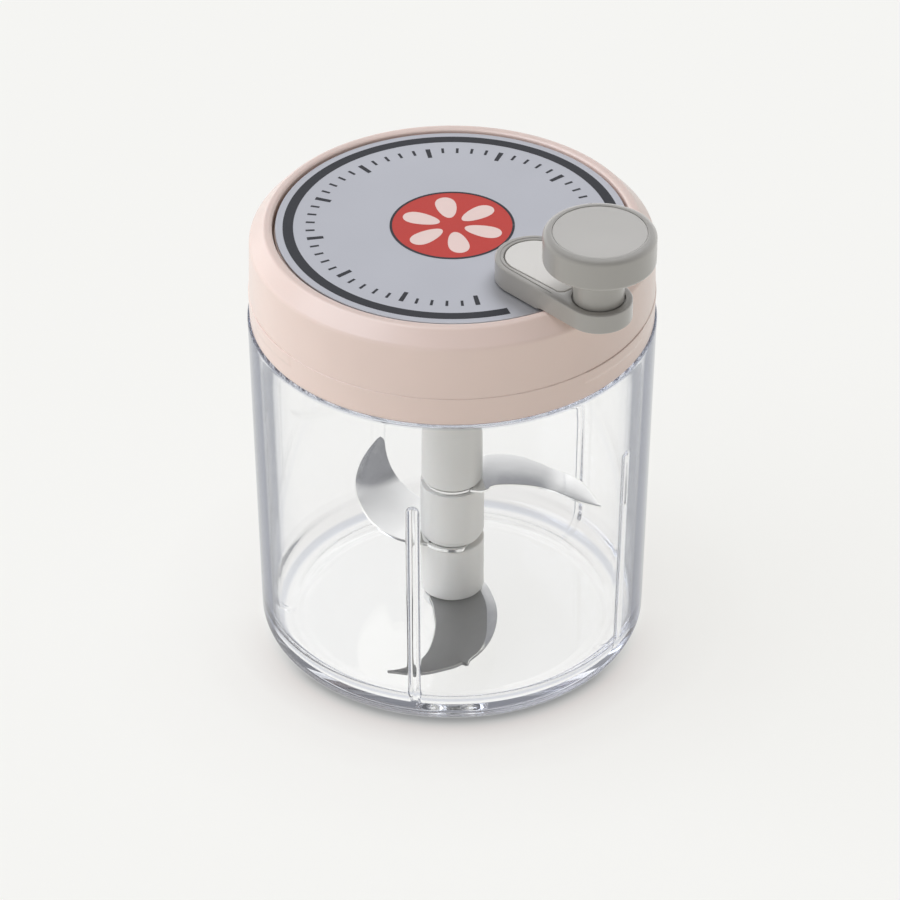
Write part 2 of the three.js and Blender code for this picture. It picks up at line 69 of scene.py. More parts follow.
# ------------------------------------------------------------------ mesh tools
def make(name, verts, faces, body, slot, material, replaces=(), sharp=38, fix=True):
    """A closed piece from points in millimetres and faces, riding on a body."""
    me = bpy.data.meshes.new(name)
    me.from_pydata([(x * MM, y * MM, z * MM) for x, y, z in verts], [], faces)
    bm = bmesh.new()
    bm.from_mesh(me)
    bmesh.ops.remove_doubles(bm, verts=bm.verts, dist=1e-7)
    if fix:
        bmesh.ops.recalc_face_normals(bm, faces=bm.faces)
    bm.to_mesh(me)
    bm.free()
    me.shade_smooth()
    me.set_sharp_from_angle(angle=rad(sharp))
    o = bpy.data.objects.new(name, me)
    scene.collection.objects.link(o)
    me.materials.append(material)
    if replaces:
        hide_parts(*replaces)
    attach(o, body)
    return o


class Shape:
    """Collects points and faces of several shells that belong to one piece."""

    def __init__(self):
        self.v, self.f = [], []

    def add(self, verts, faces):
        n = len(self.v)
        self.v += verts
        self.f += [[i + n for i in f] for f in faces]
        return self

    def turn(self, angle, x=0.0, y=0.0, start=0):
        """Turns the points from index start on about Z, after moving them by x, y."""
        c, s = math.cos(angle), math.sin(angle)
        for i in range(start, len(self.v)):
            px, py, pz = self.v[i]
            px, py = px + x, py + y
            self.v[i] = (px * c - py * s, px * s + py * c, pz)
        return self


def rounded(points, closed=False, step=12.0, support=0.16):
    """A [r, z, radius] profile as points, with an arc at each corner that has a radius, and support points beside the arcs."""
    n = len(points)
    out = []
    for i, p in enumerate(points):
        q = (p[0], p[1])
        rr = p[2] if len(p) > 2 else 0
        if rr <= 0 or (not closed and i in (0, n - 1)):
            out.append([q])
            continue
        a = Vector(points[(i - 1) % n][:2]) - Vector(q)
        b = Vector(points[(i + 1) % n][:2]) - Vector(q)
        la, lb = a.length, b.length
        a.normalize()
        b.normalize()
        ang = math.acos(max(-1, min(1, a.dot(b))))
        if ang > math.pi - 0.02:
            out.append([q])
            continue
        t = min(rr / math.tan(ang / 2), la * 0.49, lb * 0.49)
        r = t * math.tan(ang / 2)
        mid = (a + b).normalized()
        c = Vector(q) + mid * (r / math.sin(ang / 2))
        s = Vector(q) + a * t - c
        e = Vector(q) + b * t - c
        sweep = math.pi - ang
        k = max(2, int(math.ceil(math.degrees(sweep) / step)))
        a0 = math.atan2(s.y, s.x)
        d = math.atan2(e.y, e.x) - a0
        while d > math.pi:
            d -= 2 * math.pi
        while d < -math.pi:
            d += 2 * math.pi
        arc = [(c.x + r * math.cos(a0 + d * j / k), c.y + r * math.sin(a0 + d * j / k)) for j in range(k + 1)]
        out.append(arc)
    flat = [q for arc in out for q in arc]
    ends = len(flat) if closed else len(flat) - 1
    res = []
    for i in range(len(flat)):
        p = Vector(flat[i])
        res.append(tuple(p))
        if i >= ends:
            break
        q = Vector(flat[(i + 1) % len(flat)])
        length = (q - p).length
        if support and length > 4 * support:
            d = (q - p) / length
            res += [tuple(p + d * support), tuple(q - d * support)]
    return res


def lathe(profile, n=192, x=0.0, y=0.0, closed=False):
    """Points and faces of a profile turned about Z. An open profile starts and ends on the axis."""
    verts, faces, rings = [], [], []
    for r, z in profile:
        if r < 1e-6:
            rings.append([len(verts)] * n)
            verts.append((x, y, z))
        else:
            rings.append(list(range(len(verts), len(verts) + n)))
            verts += [(x + r * math.cos(2 * math.pi * i / n), y + r * math.sin(2 * math.pi * i / n), z) for i in range(n)]
    pairs = list(zip(rings, rings[1:])) + ([(rings[-1], rings[0])] if closed else [])
    for a, b in pairs:
        for i in range(n):
            j = (i + 1) % n
            f = [a[i], a[j], b[j], b[i]]
            g = []
            for k in f:
                if k not in g:
                    g.append(k)
            if len(g) > 2:
                faces.append(g)
    return verts, faces


def swept(prof, az, radius, closed=False):
    """Points and faces of a profile turned about Z through given azimuths (degrees from -Y), where radius(r, z, azimuth, index) reshapes it."""
    n = len(az)
    verts, faces, rings = [], [], []
    for i, (r, z) in enumerate(prof):
        if r < 1e-6:
            rings.append([len(verts)] * n)
            verts.append((0, 0, z))
            continue
        rings.append(list(range(len(verts), len(verts) + n)))
        for a in az:
            rr = radius(r, z, a, i)
            t = rad(a - 90)
            verts.append((rr * math.cos(t), rr * math.sin(t), z))
    for p, q in list(zip(rings, rings[1:])) + ([(rings[-1], rings[0])] if closed else []):
        for i in range(n):
            j = (i + 1) % n
            g = []
            for k in (p[i], p[j], q[j], q[i]):
                if k not in g:
                    g.append(k)
            if len(g) > 2:
                faces.append(g)
    return verts, faces


def thin(values, gap=0.12):
    """Sorted azimuths with near repeats dropped."""
    values = sorted(values)
    keep = [values[0]]
    for a in values[1:]:
        if a - keep[-1] > gap:
            keep.append(a)
    return keep


def circle(cx, cy, r, n=96):
    return lambda off: [(cx + (r - off) * math.cos(2 * math.pi * i / n), cy + (r - off) * math.sin(2 * math.pi * i / n)) for i in range(n)]


def egg(x1, r1, x2, r2, n=40, m=36):
    """Outline round two circles on the X axis, as a function of the inward offset."""

    def loop(off):
        a1, a2 = r1 - off, r2 - off
        lean = math.asin((a1 - a2) / (x2 - x1))
        a0 = math.pi / 2 - lean
        pts = [(x1 + a1 * math.cos(a0 + (2 * math.pi - 2 * a0) * i / n), a1 * math.sin(a0 + (2 * math.pi - 2 * a0) * i / n)) for i in range(n + 1)]
        right = [(x2 + a2 * math.cos(-a0 + 2 * a0 * i / n), a2 * math.sin(-a0 + 2 * a0 * i / n)) for i in range(n + 1)]
        p, q = pts[-1], right[0]
        low = [(p[0] + (q[0] - p[0]) * k / m, p[1] + (q[1] - p[1]) * k / m) for k in range(1, m)]
        p, q = right[-1], pts[0]
        high = [(p[0] + (q[0] - p[0]) * k / m, p[1] + (q[1] - p[1]) * k / m) for k in range(1, m)]
        return pts + low + right + high

    return loop


def polygon(points):
    return lambda off: list(points)


def panel(x1, r1, xe, lean, rc, n=48, m=30):
    """Outline that is round at the pivot end, narrows by lean degrees a side, and has a square end at xe with corners of radius rc."""
    k = rad(lean)

    def loop(off):
        r, e, c = r1 - off, xe - off, max(0.05, rc - off)
        half = lambda x: r / math.cos(k) - (x - x1) * math.tan(k)
        xc = e - c
        yc = half(xc) - c / math.cos(k)
        pts = [(x1 + r * math.cos(math.pi / 2 - k + (math.pi + 2 * k) * i / n), r * math.sin(math.pi / 2 - k + (math.pi + 2 * k) * i / n)) for i in range(n + 1)]
        low = [(xc + c * math.cos(-math.pi / 2 - k + (math.pi / 2 + k) * i / 8), -yc + c * math.sin(-math.pi / 2 - k + (math.pi / 2 + k) * i / 8)) for i in range(9)]
        high = [(x, -y) for x, y in reversed(low)]
        a, b = pts[-1], low[0]
        side = [(a[0] + (b[0] - a[0]) * i / m, a[1] + (b[1] - a[1]) * i / m) for i in range(1, m)]
        a, b = high[-1], pts[0]
        back = [(a[0] + (b[0] - a[0]) * i / m, a[1] + (b[1] - a[1]) * i / m) for i in range(1, m)]
        return pts + side + low + high + back

    return loop


def edge_rows(z0, z1, fb, ft, seg=6):
    """(offset, z) rows of a wall with rounded lower and upper edges and support rows."""
    s = 0.14
    rows = []
    if fb:
        rows.append((fb + s, z0))
        for k in range(seg + 1):
            a = math.pi / 2 * k / seg
            rows.append((fb - fb * math.sin(a), z0 + fb - fb * math.cos(a)))
        rows.append((0, z0 + fb + s))
    else:
        rows.append((0, z0))
    if ft:
        rows.append((0, z1 - ft - s))
        for k in range(seg + 1):
            a = math.pi / 2 * k / seg
            rows.append((ft - ft * math.cos(a), z1 - ft + ft * math.sin(a)))
        rows.append((ft + s, z1))
    else:
        rows.append((0, z1))
    return rows


def wall(shape, loop, rows, sign=1, bend=None):
    """Adds a wall of a loop through (offset, z) rows; returns the index lists of its first and last ring."""
    rings = []
    for off, z in rows:
        pts = loop(off * sign)
        rings.append(list(range(len(shape.v), len(shape.v) + len(pts))))
        shape.v += [(px, py, bend(px, py, z) if bend else z) for px, py in pts]
    for a, b in zip(rings, rings[1:]):
        n = len(a)
        shape.f += [[a[i], a[(i + 1) % n], b[(i + 1) % n], b[i]] for i in range(n)]
    return rings[0], rings[-1]


def cap(shape, rings):
    """Fills the flat area inside the first ring and outside the others."""
    loops = [[Vector((shape.v[i][0], shape.v[i][1], 0)) for i in ring] for ring in rings]
    flat = [i for ring in rings for i in ring]
    shape.f += [[flat[i] for i in tri] for tri in tessellate_polygon(loops)]


def slab(shape, outer, holes, z0, z1, fb=0.3, ft=0.3, hb=0.2, ht=0.2):
    """A flat plate with through holes; every edge is rounded."""
    lo, hi = wall(shape, outer, edge_rows(z0, z1, fb, ft))
    los, his = [lo], [hi]
    for h in holes:
        a, b = wall(shape, h, edge_rows(z0, z1, hb, ht), sign=-1)
        los.append(a)
        his.append(b)
    cap(shape, los)
    cap(shape, his)
    return shape


# ------------------------------------------------------------------ materials
def lin(c):
    """sRGB 0-255 to linear."""
    return tuple(((v / 255) / 12.92 if v / 255 <= 0.04045 else ((v / 255 + 0.055) / 1.055) ** 2.4) for v in c) + (1.0,)


def material(name):
    m = bpy.data.materials.new(name)
    m.use_nodes = True
    nt = m.node_tree
    return m, nt, nt.nodes["Principled BSDF"]


def node(nt, kind, **kw):
    n = nt.nodes.new(kind)
    for k, v in kw.items():
        if k in n.inputs:
            n.inputs[k].default_value = v
        else:
            setattr(n, k, v)
    return n


def plastic(name, color, rough=0.4, spread=0.04, tone=0.035, grain=900.0, bump=0.02, sss=0.0, coat=0.0):
    """Moulded plastic: slow tone drift, fine spark-eroded grain in roughness and bump."""
    m, nt, p = material(name)
    tc = node(nt, "ShaderNodeTexCoord")
    slow = node(nt, "ShaderNodeTexNoise", Scale=28.0, Detail=3.0, Roughness=0.55)
    fine = node(nt, "ShaderNodeTexNoise", Scale=grain, Detail=4.0, Roughness=0.6)
    nt.links.new(tc.outputs["Object"], slow.inputs["Vector"])
    nt.links.new(tc.outputs["Object"], fine.inputs["Vector"])
    ramp = node(nt, "ShaderNodeValToRGB")
    c = lin(color)
    ramp.color_ramp.elements[0].position = 0.3
    ramp.color_ramp.elements[1].position = 0.7
    ramp.color_ramp.elements[0].color = tuple(v * (1 - tone) for v in c[:3]) + (1,)
    ramp.color_ramp.elements[1].color = tuple(min(1, v * (1 + tone)) for v in c[:3]) + (1,)
    nt.links.new(slow.outputs["Fac"], ramp.inputs["Fac"])
    nt.links.new(ramp.outputs["Color"], p.inputs["Base Color"])
    mr = node(nt, "ShaderNodeMapRange")
    mr.inputs["From Min"].default_value = 0.3
    mr.inputs["From Max"].default_value = 0.7
    mr.inputs["To Min"].default_value = rough - spread
    mr.inputs["To Max"].default_value = rough + spread
    nt.links.new(fine.outputs["Fac"], mr.inputs["Value"])
    nt.links.new(mr.outputs["Result"], p.inputs["Roughness"])
    b = node(nt, "ShaderNodeBump", Strength=bump, Distance=0.0002)
    nt.links.new(fine.outputs["Fac"], b.inputs["Height"])
    nt.links.new(b.outputs["Normal"], p.inputs["Normal"])
    p.inputs["IOR"].default_value = 1.49
    if sss:
        p.inputs["Subsurface Weight"].default_value = sss
        p.inputs["Subsurface Radius"].default_value = (1.0, 0.6, 0.5)
        p.inputs["Subsurface Scale"].default_value = 0.0015
    if coat:
        p.inputs["Coat Weight"].default_value = coat
        p.inputs["Coat Roughness"].default_value = 0.2
    return m


def metal(name, color, rough=0.2, spread=0.05, stretch=(1, 1, 1), scale=600.0, tone=0.05, bump=0.015, aniso=0.0, metallic=1.0):
    """Metal with fine drawn or turned marks along the direction that is stretched least."""
    m, nt, p = material(name)
    tc = node(nt, "ShaderNodeTexCoord")
    mp = node(nt, "ShaderNodeMapping")
    mp.inputs["Scale"].default_value = stretch
    nt.links.new(tc.outputs["Object"], mp.inputs["Vector"])
    fine = node(nt, "ShaderNodeTexNoise", Scale=scale, Detail=5.0, Roughness=0.6)
    slow = node(nt, "ShaderNodeTexNoise", Scale=45.0, Detail=2.0)
    nt.links.new(mp.outputs["Vector"], fine.inputs["Vector"])
    nt.links.new(tc.outputs["Object"], slow.inputs["Vector"])
    ramp = node(nt, "ShaderNodeValToRGB")
    c = lin(color)
    ramp.color_ramp.elements[0].position = 0.3
    ramp.color_ramp.elements[1].position = 0.7
    ramp.color_ramp.elements[0].color = tuple(v * (1 - tone) for v in c[:3]) + (1,)
    ramp.color_ramp.elements[1].color = tuple(min(1, v * (1 + tone)) for v in c[:3]) + (1,)
    nt.links.new(slow.outputs["Fac"], ramp.inputs["Fac"])
    nt.links.new(ramp.outputs["Color"], p.inputs["Base Color"])
    mr = node(nt, "ShaderNodeMapRange")
    mr.inputs["From Min"].default_value = 0.3
    mr.inputs["From Max"].default_value = 0.7
    mr.inputs["To Min"].default_value = max(0.02, rough - spread)
    mr.inputs["To Max"].default_value = rough + spread
    nt.links.new(fine.outputs["Fac"], mr.inputs["Value"])
    nt.links.new(mr.outputs["Result"], p.inputs["Roughness"])
    b = node(nt, "ShaderNodeBump", Strength=bump, Distance=0.0001)
    nt.links.new(fine.outputs["Fac"], b.inputs["Height"])
    nt.links.new(b.outputs["Normal"], p.inputs["Normal"])
    p.inputs["Metallic"].default_value = metallic
    p.inputs["Anisotropic"].default_value = aniso
    return m


def clear_plastic(name):
    """Clear styrene: glass-like, with faint wipe marks in its roughness. Lamps shine through it."""
    m, nt, p = material(name)
    # painted reflection: walls seen along their length are tinted slate blue, darkest at their silhouettes, standing in
    # for the dark surroundings the clear wall bends in; face on they are colourless
    lw = node(nt, "ShaderNodeLayerWeight")
    lw.inputs["Blend"].default_value = 0.5
    edge = node(nt, "ShaderNodeValToRGB")
    stops = [
        (0.0, (0.995, 0.995, 0.998)), (0.5, (0.995, 0.995, 0.998)), (0.584, (0.955, 0.957, 0.965)), (0.63, (0.89, 0.895, 0.91)),
        (0.672, (0.78, 0.79, 0.82)), (0.71, (0.5, 0.52, 0.58)), (0.75, (0.05, 0.06, 0.1)), (1.0, (0.03, 0.04, 0.08)),
    ]
    while len(edge.color_ramp.elements) < len(stops):
        edge.color_ramp.elements.new(0.5)
    for el, (pos, c) in zip(edge.color_ramp.elements, stops):
        el.position = pos
    for el, (pos, c) in zip(edge.color_ramp.elements, stops):
        el.color = (c[0], c[1], c[2], 1)
    nt.links.new(lw.outputs["Facing"], edge.inputs["Fac"])
    # painted shade: thin slate bands painted by height on the tight rounds at the rim and under the foot, standing in
    # for the dark lines these rounds bend in
    tc = node(nt, "ShaderNodeTexCoord")
    sep = node(nt, "ShaderNodeSeparateXYZ")
    nt.links.new(tc.outputs["Object"], sep.inputs["Vector"])
    up = node(nt, "ShaderNodeMapRange")
    up.inputs["From Max"].default_value = 0.1
    nt.links.new(sep.outputs["Z"], up.inputs["Value"])
    painted_slate_lines = node(nt, "ShaderNodeValToRGB")
    clear, foot, rim = (1, 1, 1), (0.6, 0.63, 0.72), (0.62, 0.65, 0.73)
    stops = [(0.0, clear), (0.0015, clear), (0.003, foot), (0.015, foot), (0.022, clear), (0.912, clear), (0.9155, rim), (0.9205, rim), (0.923, clear), (1.0, clear)]
    while len(painted_slate_lines.color_ramp.elements) < len(stops):
        painted_slate_lines.color_ramp.elements.new(0.5)
    for el, (pos, c) in zip(painted_slate_lines.color_ramp.elements, stops):
        el.position = pos
    for el, (pos, c) in zip(painted_slate_lines.color_ramp.elements, stops):
        el.color = (c[0], c[1], c[2], 1)
    nt.links.new(up.outputs["Result"], painted_slate_lines.inputs["Fac"])
    tint = node(nt, "ShaderNodeMix", data_type="RGBA", blend_type="MULTIPLY")
    tint.inputs[0].default_value = 1.0
    nt.links.new(edge.outputs["Color"], tint.inputs[6])
    nt.links.new(painted_slate_lines.outputs["Color"], tint.inputs[7])
    nt.links.new(tint.outputs[2], p.inputs["Base Color"])
    p.inputs["Transmission Weight"].default_value = 1.0
    p.inputs["IOR"].default_value = 1.5
    n = node(nt, "ShaderNodeTexNoise", Scale=60.0, Detail=4.0, Roughness=0.6)
    nt.links.new(tc.outputs["Object"], n.inputs["Vector"])
    mr = node(nt, "ShaderNodeMapRange")
    mr.inputs["From Min"].default_value = 0.35
    mr.inputs["From Max"].default_value = 0.75
    mr.inputs["To Min"].default_value = 0.0
    mr.inputs["To Max"].default_value = 0.03
    nt.links.new(n.outputs["Fac"], mr.inputs["Value"])
    nt.links.new(mr.outputs["Result"], p.inputs["Roughness"])
    lp = node(nt, "ShaderNodeLightPath")
    tr = node(nt, "ShaderNodeBsdfTransparent")
    tr.inputs["Color"].default_value = (0.93, 0.935, 0.945, 1)
    mix = node(nt, "ShaderNodeMixShader")
    out = nt.nodes["Material Output"]
    nt.links.new(lp.outputs["Is Shadow Ray"], mix.inputs["Fac"])
    nt.links.new(p.outputs["BSDF"], mix.inputs[1])
    nt.links.new(tr.outputs["BSDF"], mix.inputs[2])
    nt.links.new(mix.outputs["Shader"], out.inputs["Surface"])
    # a little of the light is lost along its way inside the wall
    va = node(nt, "ShaderNodeVolumeAbsorption")
    va.inputs["Color"].default_value = (0.80, 0.82, 0.87, 1)
    va.inputs["Density"].default_value = 10.0
    nt.links.new(va.outputs["Volume"], out.inputs["Volume"])
    return m


M_CLEAR = clear_plastic("clear_styrene")
M_PINK = plastic("pink_plastic", (229, 206, 194), rough=0.36, grain=700.0, bump=0.02, sss=0.05, coat=0.5)
M_HOUSING = plastic("housing_plastic", (118, 119, 122), rough=0.5, grain=700.0, bump=0.02)
M_GREY = plastic("grey_plastic", (171, 168, 162), rough=0.38, grain=900.0, bump=0.03, coat=0.7)
M_GREY_TOP = plastic("grey_plastic_insert", (222, 219, 213), rough=0.46, grain=1400.0, bump=0.05)
# the knob cap: a lighter copy of the grey plastic, painted light standing in for the light on the knob's top face
M_GREY_CAP_PAINTED_LIGHT = plastic("grey_plastic_cap_painted_light", (197, 194, 188), rough=0.38, grain=900.0, bump=0.03, coat=0.7)
M_HUB = plastic("hub_plastic", (227, 225, 219), rough=0.36, grain=900.0, bump=0.02, sss=0.05)
M_GEAR = plastic("acetal", (240, 237, 228), rough=0.35, grain=700.0, bump=0.02, sss=0.1)
M_SEAL = plastic("silicone", (236, 235, 230), rough=0.55, grain=500.0, bump=0.02, sss=0.3)
M_BLADE = metal("blade_steel", (244, 244, 242), rough=0.14, spread=0.04, stretch=(1, 1, 6), scale=500.0, aniso=0.3)
M_BLADE_LOW = metal("blade_steel_satin", (138, 138, 138), rough=0.42, spread=0.04, stretch=(1, 6, 1), scale=500.0, aniso=0.2)
M_PIN = metal("pin_steel", (200, 200, 200), rough=0.25, spread=0.07, stretch=(1, 1, 12), scale=700.0)
M_DISC = metal("disc_metal", (208, 209, 215), rough=0.36, spread=0.05, stretch=(1, 1, 1), scale=1500.0, tone=0.02, bump=0.02, metallic=0.35)
M_INK = plastic("print_dark", (52, 53, 58), rough=0.6, grain=1800.0, bump=0.03, tone=0.06)
M_RED = plastic("print_red", (196, 62, 54), rough=0.5, grain=1800.0, bump=0.03, tone=0.06)
M_PALE = plastic("print_pale", (240, 214, 206), rough=0.5, grain=1800.0, bump=0.03, tone=0.03)


# ------------------------------------------------------------------ bowl
def smooth(t):
    t = max(0.0, min(1.0, t))
    return t * t * (3 - 2 * t)


def make_bowl():
    """One closed shell. The inner wall carries the ribs as part of its surface, and the neck its three keys."""
    prof = [(0.0, 0.0), (20.0, 0.0), (40.0, 0.0), (42.6, 0.0)]
    for k in range(0, 17):
        a = math.pi / 2 * k / 16
        prof.append((42.85 + 5.8 * math.sin(a), 5.8 - 5.8 * math.cos(a)))
    z0, z1 = 5.8, 90.5
    for k in range(1, 25):
        z = z0 + (z1 - z0) * k / 24
        prof.append((48.65 + (50.3 - 48.65) * (z - z0) / (z1 - z0), z))
    # the shoulder of the rim carries the band of the lid
    prof += rounded([(50.3, 91.0), (50.3, 92.0, 0.35), (48.3, 92.0, 0.1), (48.3, 92.7)], support=0)
    neck0 = len(prof)
    for z in (92.8, 93.0, 93.2, 93.4, 94.5, 96.5, 97.6, 97.8):
        prof.append((48.3, z))
    neck1 = len(prof)
    prof += rounded([(48.3, 97.9), (48.3, 98.3, 0.3), (47.3, 98.3, 0.3), (47.3, 97.6)], support=0)
    inner0 = len(prof)
    zs = [96, 94, 92, 91.2, 88, 82, 76, 71, 68.5, 67.6, 67.2, 66.9, 66.6, 66.3, 66.0, 65.7, 65.4, 65.1, 64.7, 64.2, 63.4, 62.0, 58.0]
    zs += [52 - 4 * k for k in range(0, 10)] + [12.5]
    for z in zs:
        prof.append((46.0 + 1.3 * (min(z, 91.2) - 11) / (91.2 - 11), z))
    # floor corner, the small step round the floor, and the floor
    for k in range(0, 21):
        a = math.pi / 2 * k / 20
        prof.append((40.9 + 5.1 * math.cos(a), 4.1 + 6.9 * (1 - math.sin(a))))
    inner1 = len(prof)
    prof += rounded([(40.75, 4.1), (39.7, 3.55, 0.9), (38.6, 3.45, 0.9), (37.0, 3.0, 1.4), (35, 3.0)], support=0)
    prof += [(28, 3.0), (18, 3.0), (10, 3.0), (6.2, 3.0)]
    prof += rounded([(6.0, 3.0), (5.0, 3.0, 0.8), (4.8, 5.0, 0.4), (2.5, 5.0, 0.2), (2.5, 1.5, 0.2), (0, 1.5)])
    # azimuths, closer together at ribs and keys
    az = set(round(1.0 * k, 4) for k in range(360))
    for a in RIB_AZ:
        for d in (0, 0.2, 0.4, 0.6, 0.75, 0.9, 1.05, 1.2, 1.35, 1.5, 1.65, 1.8, 2.1):
            for s in (-1, 1):
                az.add(round((a + s * math.degrees(d / 45.0)) % 360, 4))
    for a in KEY_AZ:
        for d in (1.2, 1.4, 1.6):
            for s in (-1, 1):
                az.add(round((a + s * math.degrees(d / 48.3)) % 360, 4))
    az = thin(az)

    def radius(r, z, a, i):
        if neck0 <= i < neck1:
            for c in KEY_AZ:
                s = abs(((a - c + 180) % 360 - 180) * math.pi / 180 * 48.3)
                r += 0.52 * smooth((1.6 - s) / 0.3) * smooth((z - 92.9) / 0.3) * smooth((97.9 - z) / 0.3)
            return r
        if not inner0 <= i < inner1:
            return r
        for c in RIB_AZ:
            s = ((a - c + 180) % 360 - 180) * math.pi / 180 * 45.0
            if abs(s) < 3 and z < 70:
                top = 64.9
                d = abs(s) if z < top else math.hypot(s, z - top)
                f = smooth((1.65 - d) / 1.35)
                r -= (1.45 if c == RIB_AZ[0] else 0.7) * f
        return r

    verts, faces = swept(prof, az, radius)
    return make("bowl_shell", verts, faces, "bowl", "clear_plastic", M_CLEAR, ["bowl"], sharp=50)


make_bowl()
make(
    "floor_pin_turned",
    *lathe(rounded([(0, 1.8), (2.2, 1.8, 0.3), (2.2, 17.4, 0.4), (1.2, 18.5, 0.4), (0, 18.5)]), 64),
    "bowl", "pin_steel", M_PIN, ["floor_pin"],
)
make(
    "pivot_bush_turned",
    *lathe(rounded([(0, 19.0), (2.5, 19.0, 0.1), (2.5, 5.3, 0.15), (3.8, 5.3, 0.2), (3.8, 20.0, 0.5), (0, 20.0)]), 64),
    "pivot_bush", "gear_plastic", M_GEAR, ["pivot_bush"],
)

# ------------------------------------------------------------------ blade set
HEX = 6.0


def hexagon(r, c=0.5, seg=4):
    """A hexagon with rounded corners, as a loop that takes an offset."""

    def loop(off):
        rr = (r * math.cos(math.pi / 6) - off) / math.cos(math.pi / 6)
        pts = []
        for i in range(6):
            a = math.pi / 3 * i
            cx, cy = (rr - c * 1.1547) * math.cos(a), (rr - c * 1.1547) * math.sin(a)
            for k in range(seg + 1):
                b = a - math.pi / 6 + math.pi / 3 * k / seg
                pts.append((cx + c * math.cos(b), cy + c * math.sin(b)))
        return pts

    return loop


s = Shape()
a, b = wall(s, hexagon(HEX), edge_rows(8.4, 58, 0.2, 0.4))
cap(s, [a])
cap(s, [b])
s.add(*lathe(rounded([(0, 5.5), (4.95, 5.5, 0.2), (4.95, 8.6), (0, 8.6)]), 64))
make("core_post_bar", s.v, s.f, "blade_set", "pin_steel", M_PIN, ["core_post"])
s = Shape()
slab(s, circle(0, 0, 7.3, 96), [circle(0, 0, 5.3, 64)], 5.5, 8.2, 0.5, 0.2, 0.15, 0.15)
make("hub_nut_ring", s.v, s.f, "blade_set", "hub_plastic", M_HUB, ["hub_nut"])


def tube(name, nodes, r, z0, z1, rb=0.35, rt=0.35, hole=None, n=160):
    s = Shape()
    slab(s, circle(0, 0, r, n), [hole or hexagon(HEX + 0.35)], z0, z1, rb, rt, 0.1, 0.1)
    return make(name, s.v, s.f, "blade_set", "hub_plastic", M_HUB, nodes)


tube("spacer_lower_tube", ["spacer_lower"], 8.1, 9.5, 24.95, 0.8, 0.35)
tube("spacer_ring_band", ["spacer_ring"], 7.4, 26.15, 27.1, 0.2, 0.2)
tube("spacer_middle_tube", ["spacer_middle"], 8.1, 27.2, 42.1, 0.8, 0.35)


def drive_tube():
    s = Shape()
    r = 7.65
    lo, hi = wall(s, circle(0, 0, r, 160), edge_rows(43.2, 90.0, 0.9, 0.6))
    for ring, hx, za, zb in ((lo, HEX + 0.35, 43.2, 58.3), (hi, 4.97, 90.0, 74.0)):
        d = 1 if zb > za else -1
        rows = [(0.25, za), (0.12, za + 0.03 * d), (0.03, za + 0.12 * d), (0, za + 0.25 * d), (0, zb)]
        first, last = wall(s, hexagon(hx), rows, sign=-1)
        cap(s, [ring, first])
        cap(s, [last])
    make("drive_tube_body", s.v, s.f, "blade_set", "hub_plastic", M_HUB, ["drive_tube"])


drive_tube()


def spline(points, count):
    """Even samples along a centripetal curve through the points."""
    p = [Vector((x, y)) for x, y in points]
    p = [p[0] * 2 - p[1]] + p + [p[-1] * 2 - p[-2]]
    dense = []
    for i in range(1, len(p) - 2):
        p0, p1, p2, p3 = p[i - 1 : i + 3]
        t0 = 0.0
        t1 = t0 + (p1 - p0).length ** 0.5
        t2 = t1 + (p2 - p1).length ** 0.5
        t3 = t2 + (p3 - p2).length ** 0.5
        for k in range(16):
            t = t1 + (t2 - t1) * k / 16
            a1 = p0 * ((t1 - t) / (t1 - t0)) + p1 * ((t - t0) / (t1 - t0))
            a2 = p1 * ((t2 - t) / (t2 - t1)) + p2 * ((t - t1) / (t2 - t1))
            a3 = p2 * ((t3 - t) / (t3 - t2)) + p3 * ((t - t2) / (t3 - t2))
            b1 = a1 * ((t2 - t) / (t2 - t0)) + a2 * ((t - t0) / (t2 - t0))
            b2 = a2 * ((t3 - t) / (t3 - t1)) + a3 * ((t - t1) / (t3 - t1))
            dense.append(b1 * ((t2 - t) / (t2 - t1)) + b2 * ((t - t1) / (t2 - t1)))
    dense.append(p[-2])
    length = [0.0]
    for q, w in zip(dense, dense[1:]):
        length.append(length[-1] + (w - q).length)
    out, j = [], 0
    for k in range(count):
        want = length[-1] * k / (count - 1)
        while j < len(length) - 2 and length[j + 1] < want:
            j += 1
        u = (want - length[j]) / max(1e-9, length[j + 1] - length[j])
        out.append(dense[j].lerp(dense[j + 1], max(0, min(1, u))))
    return out


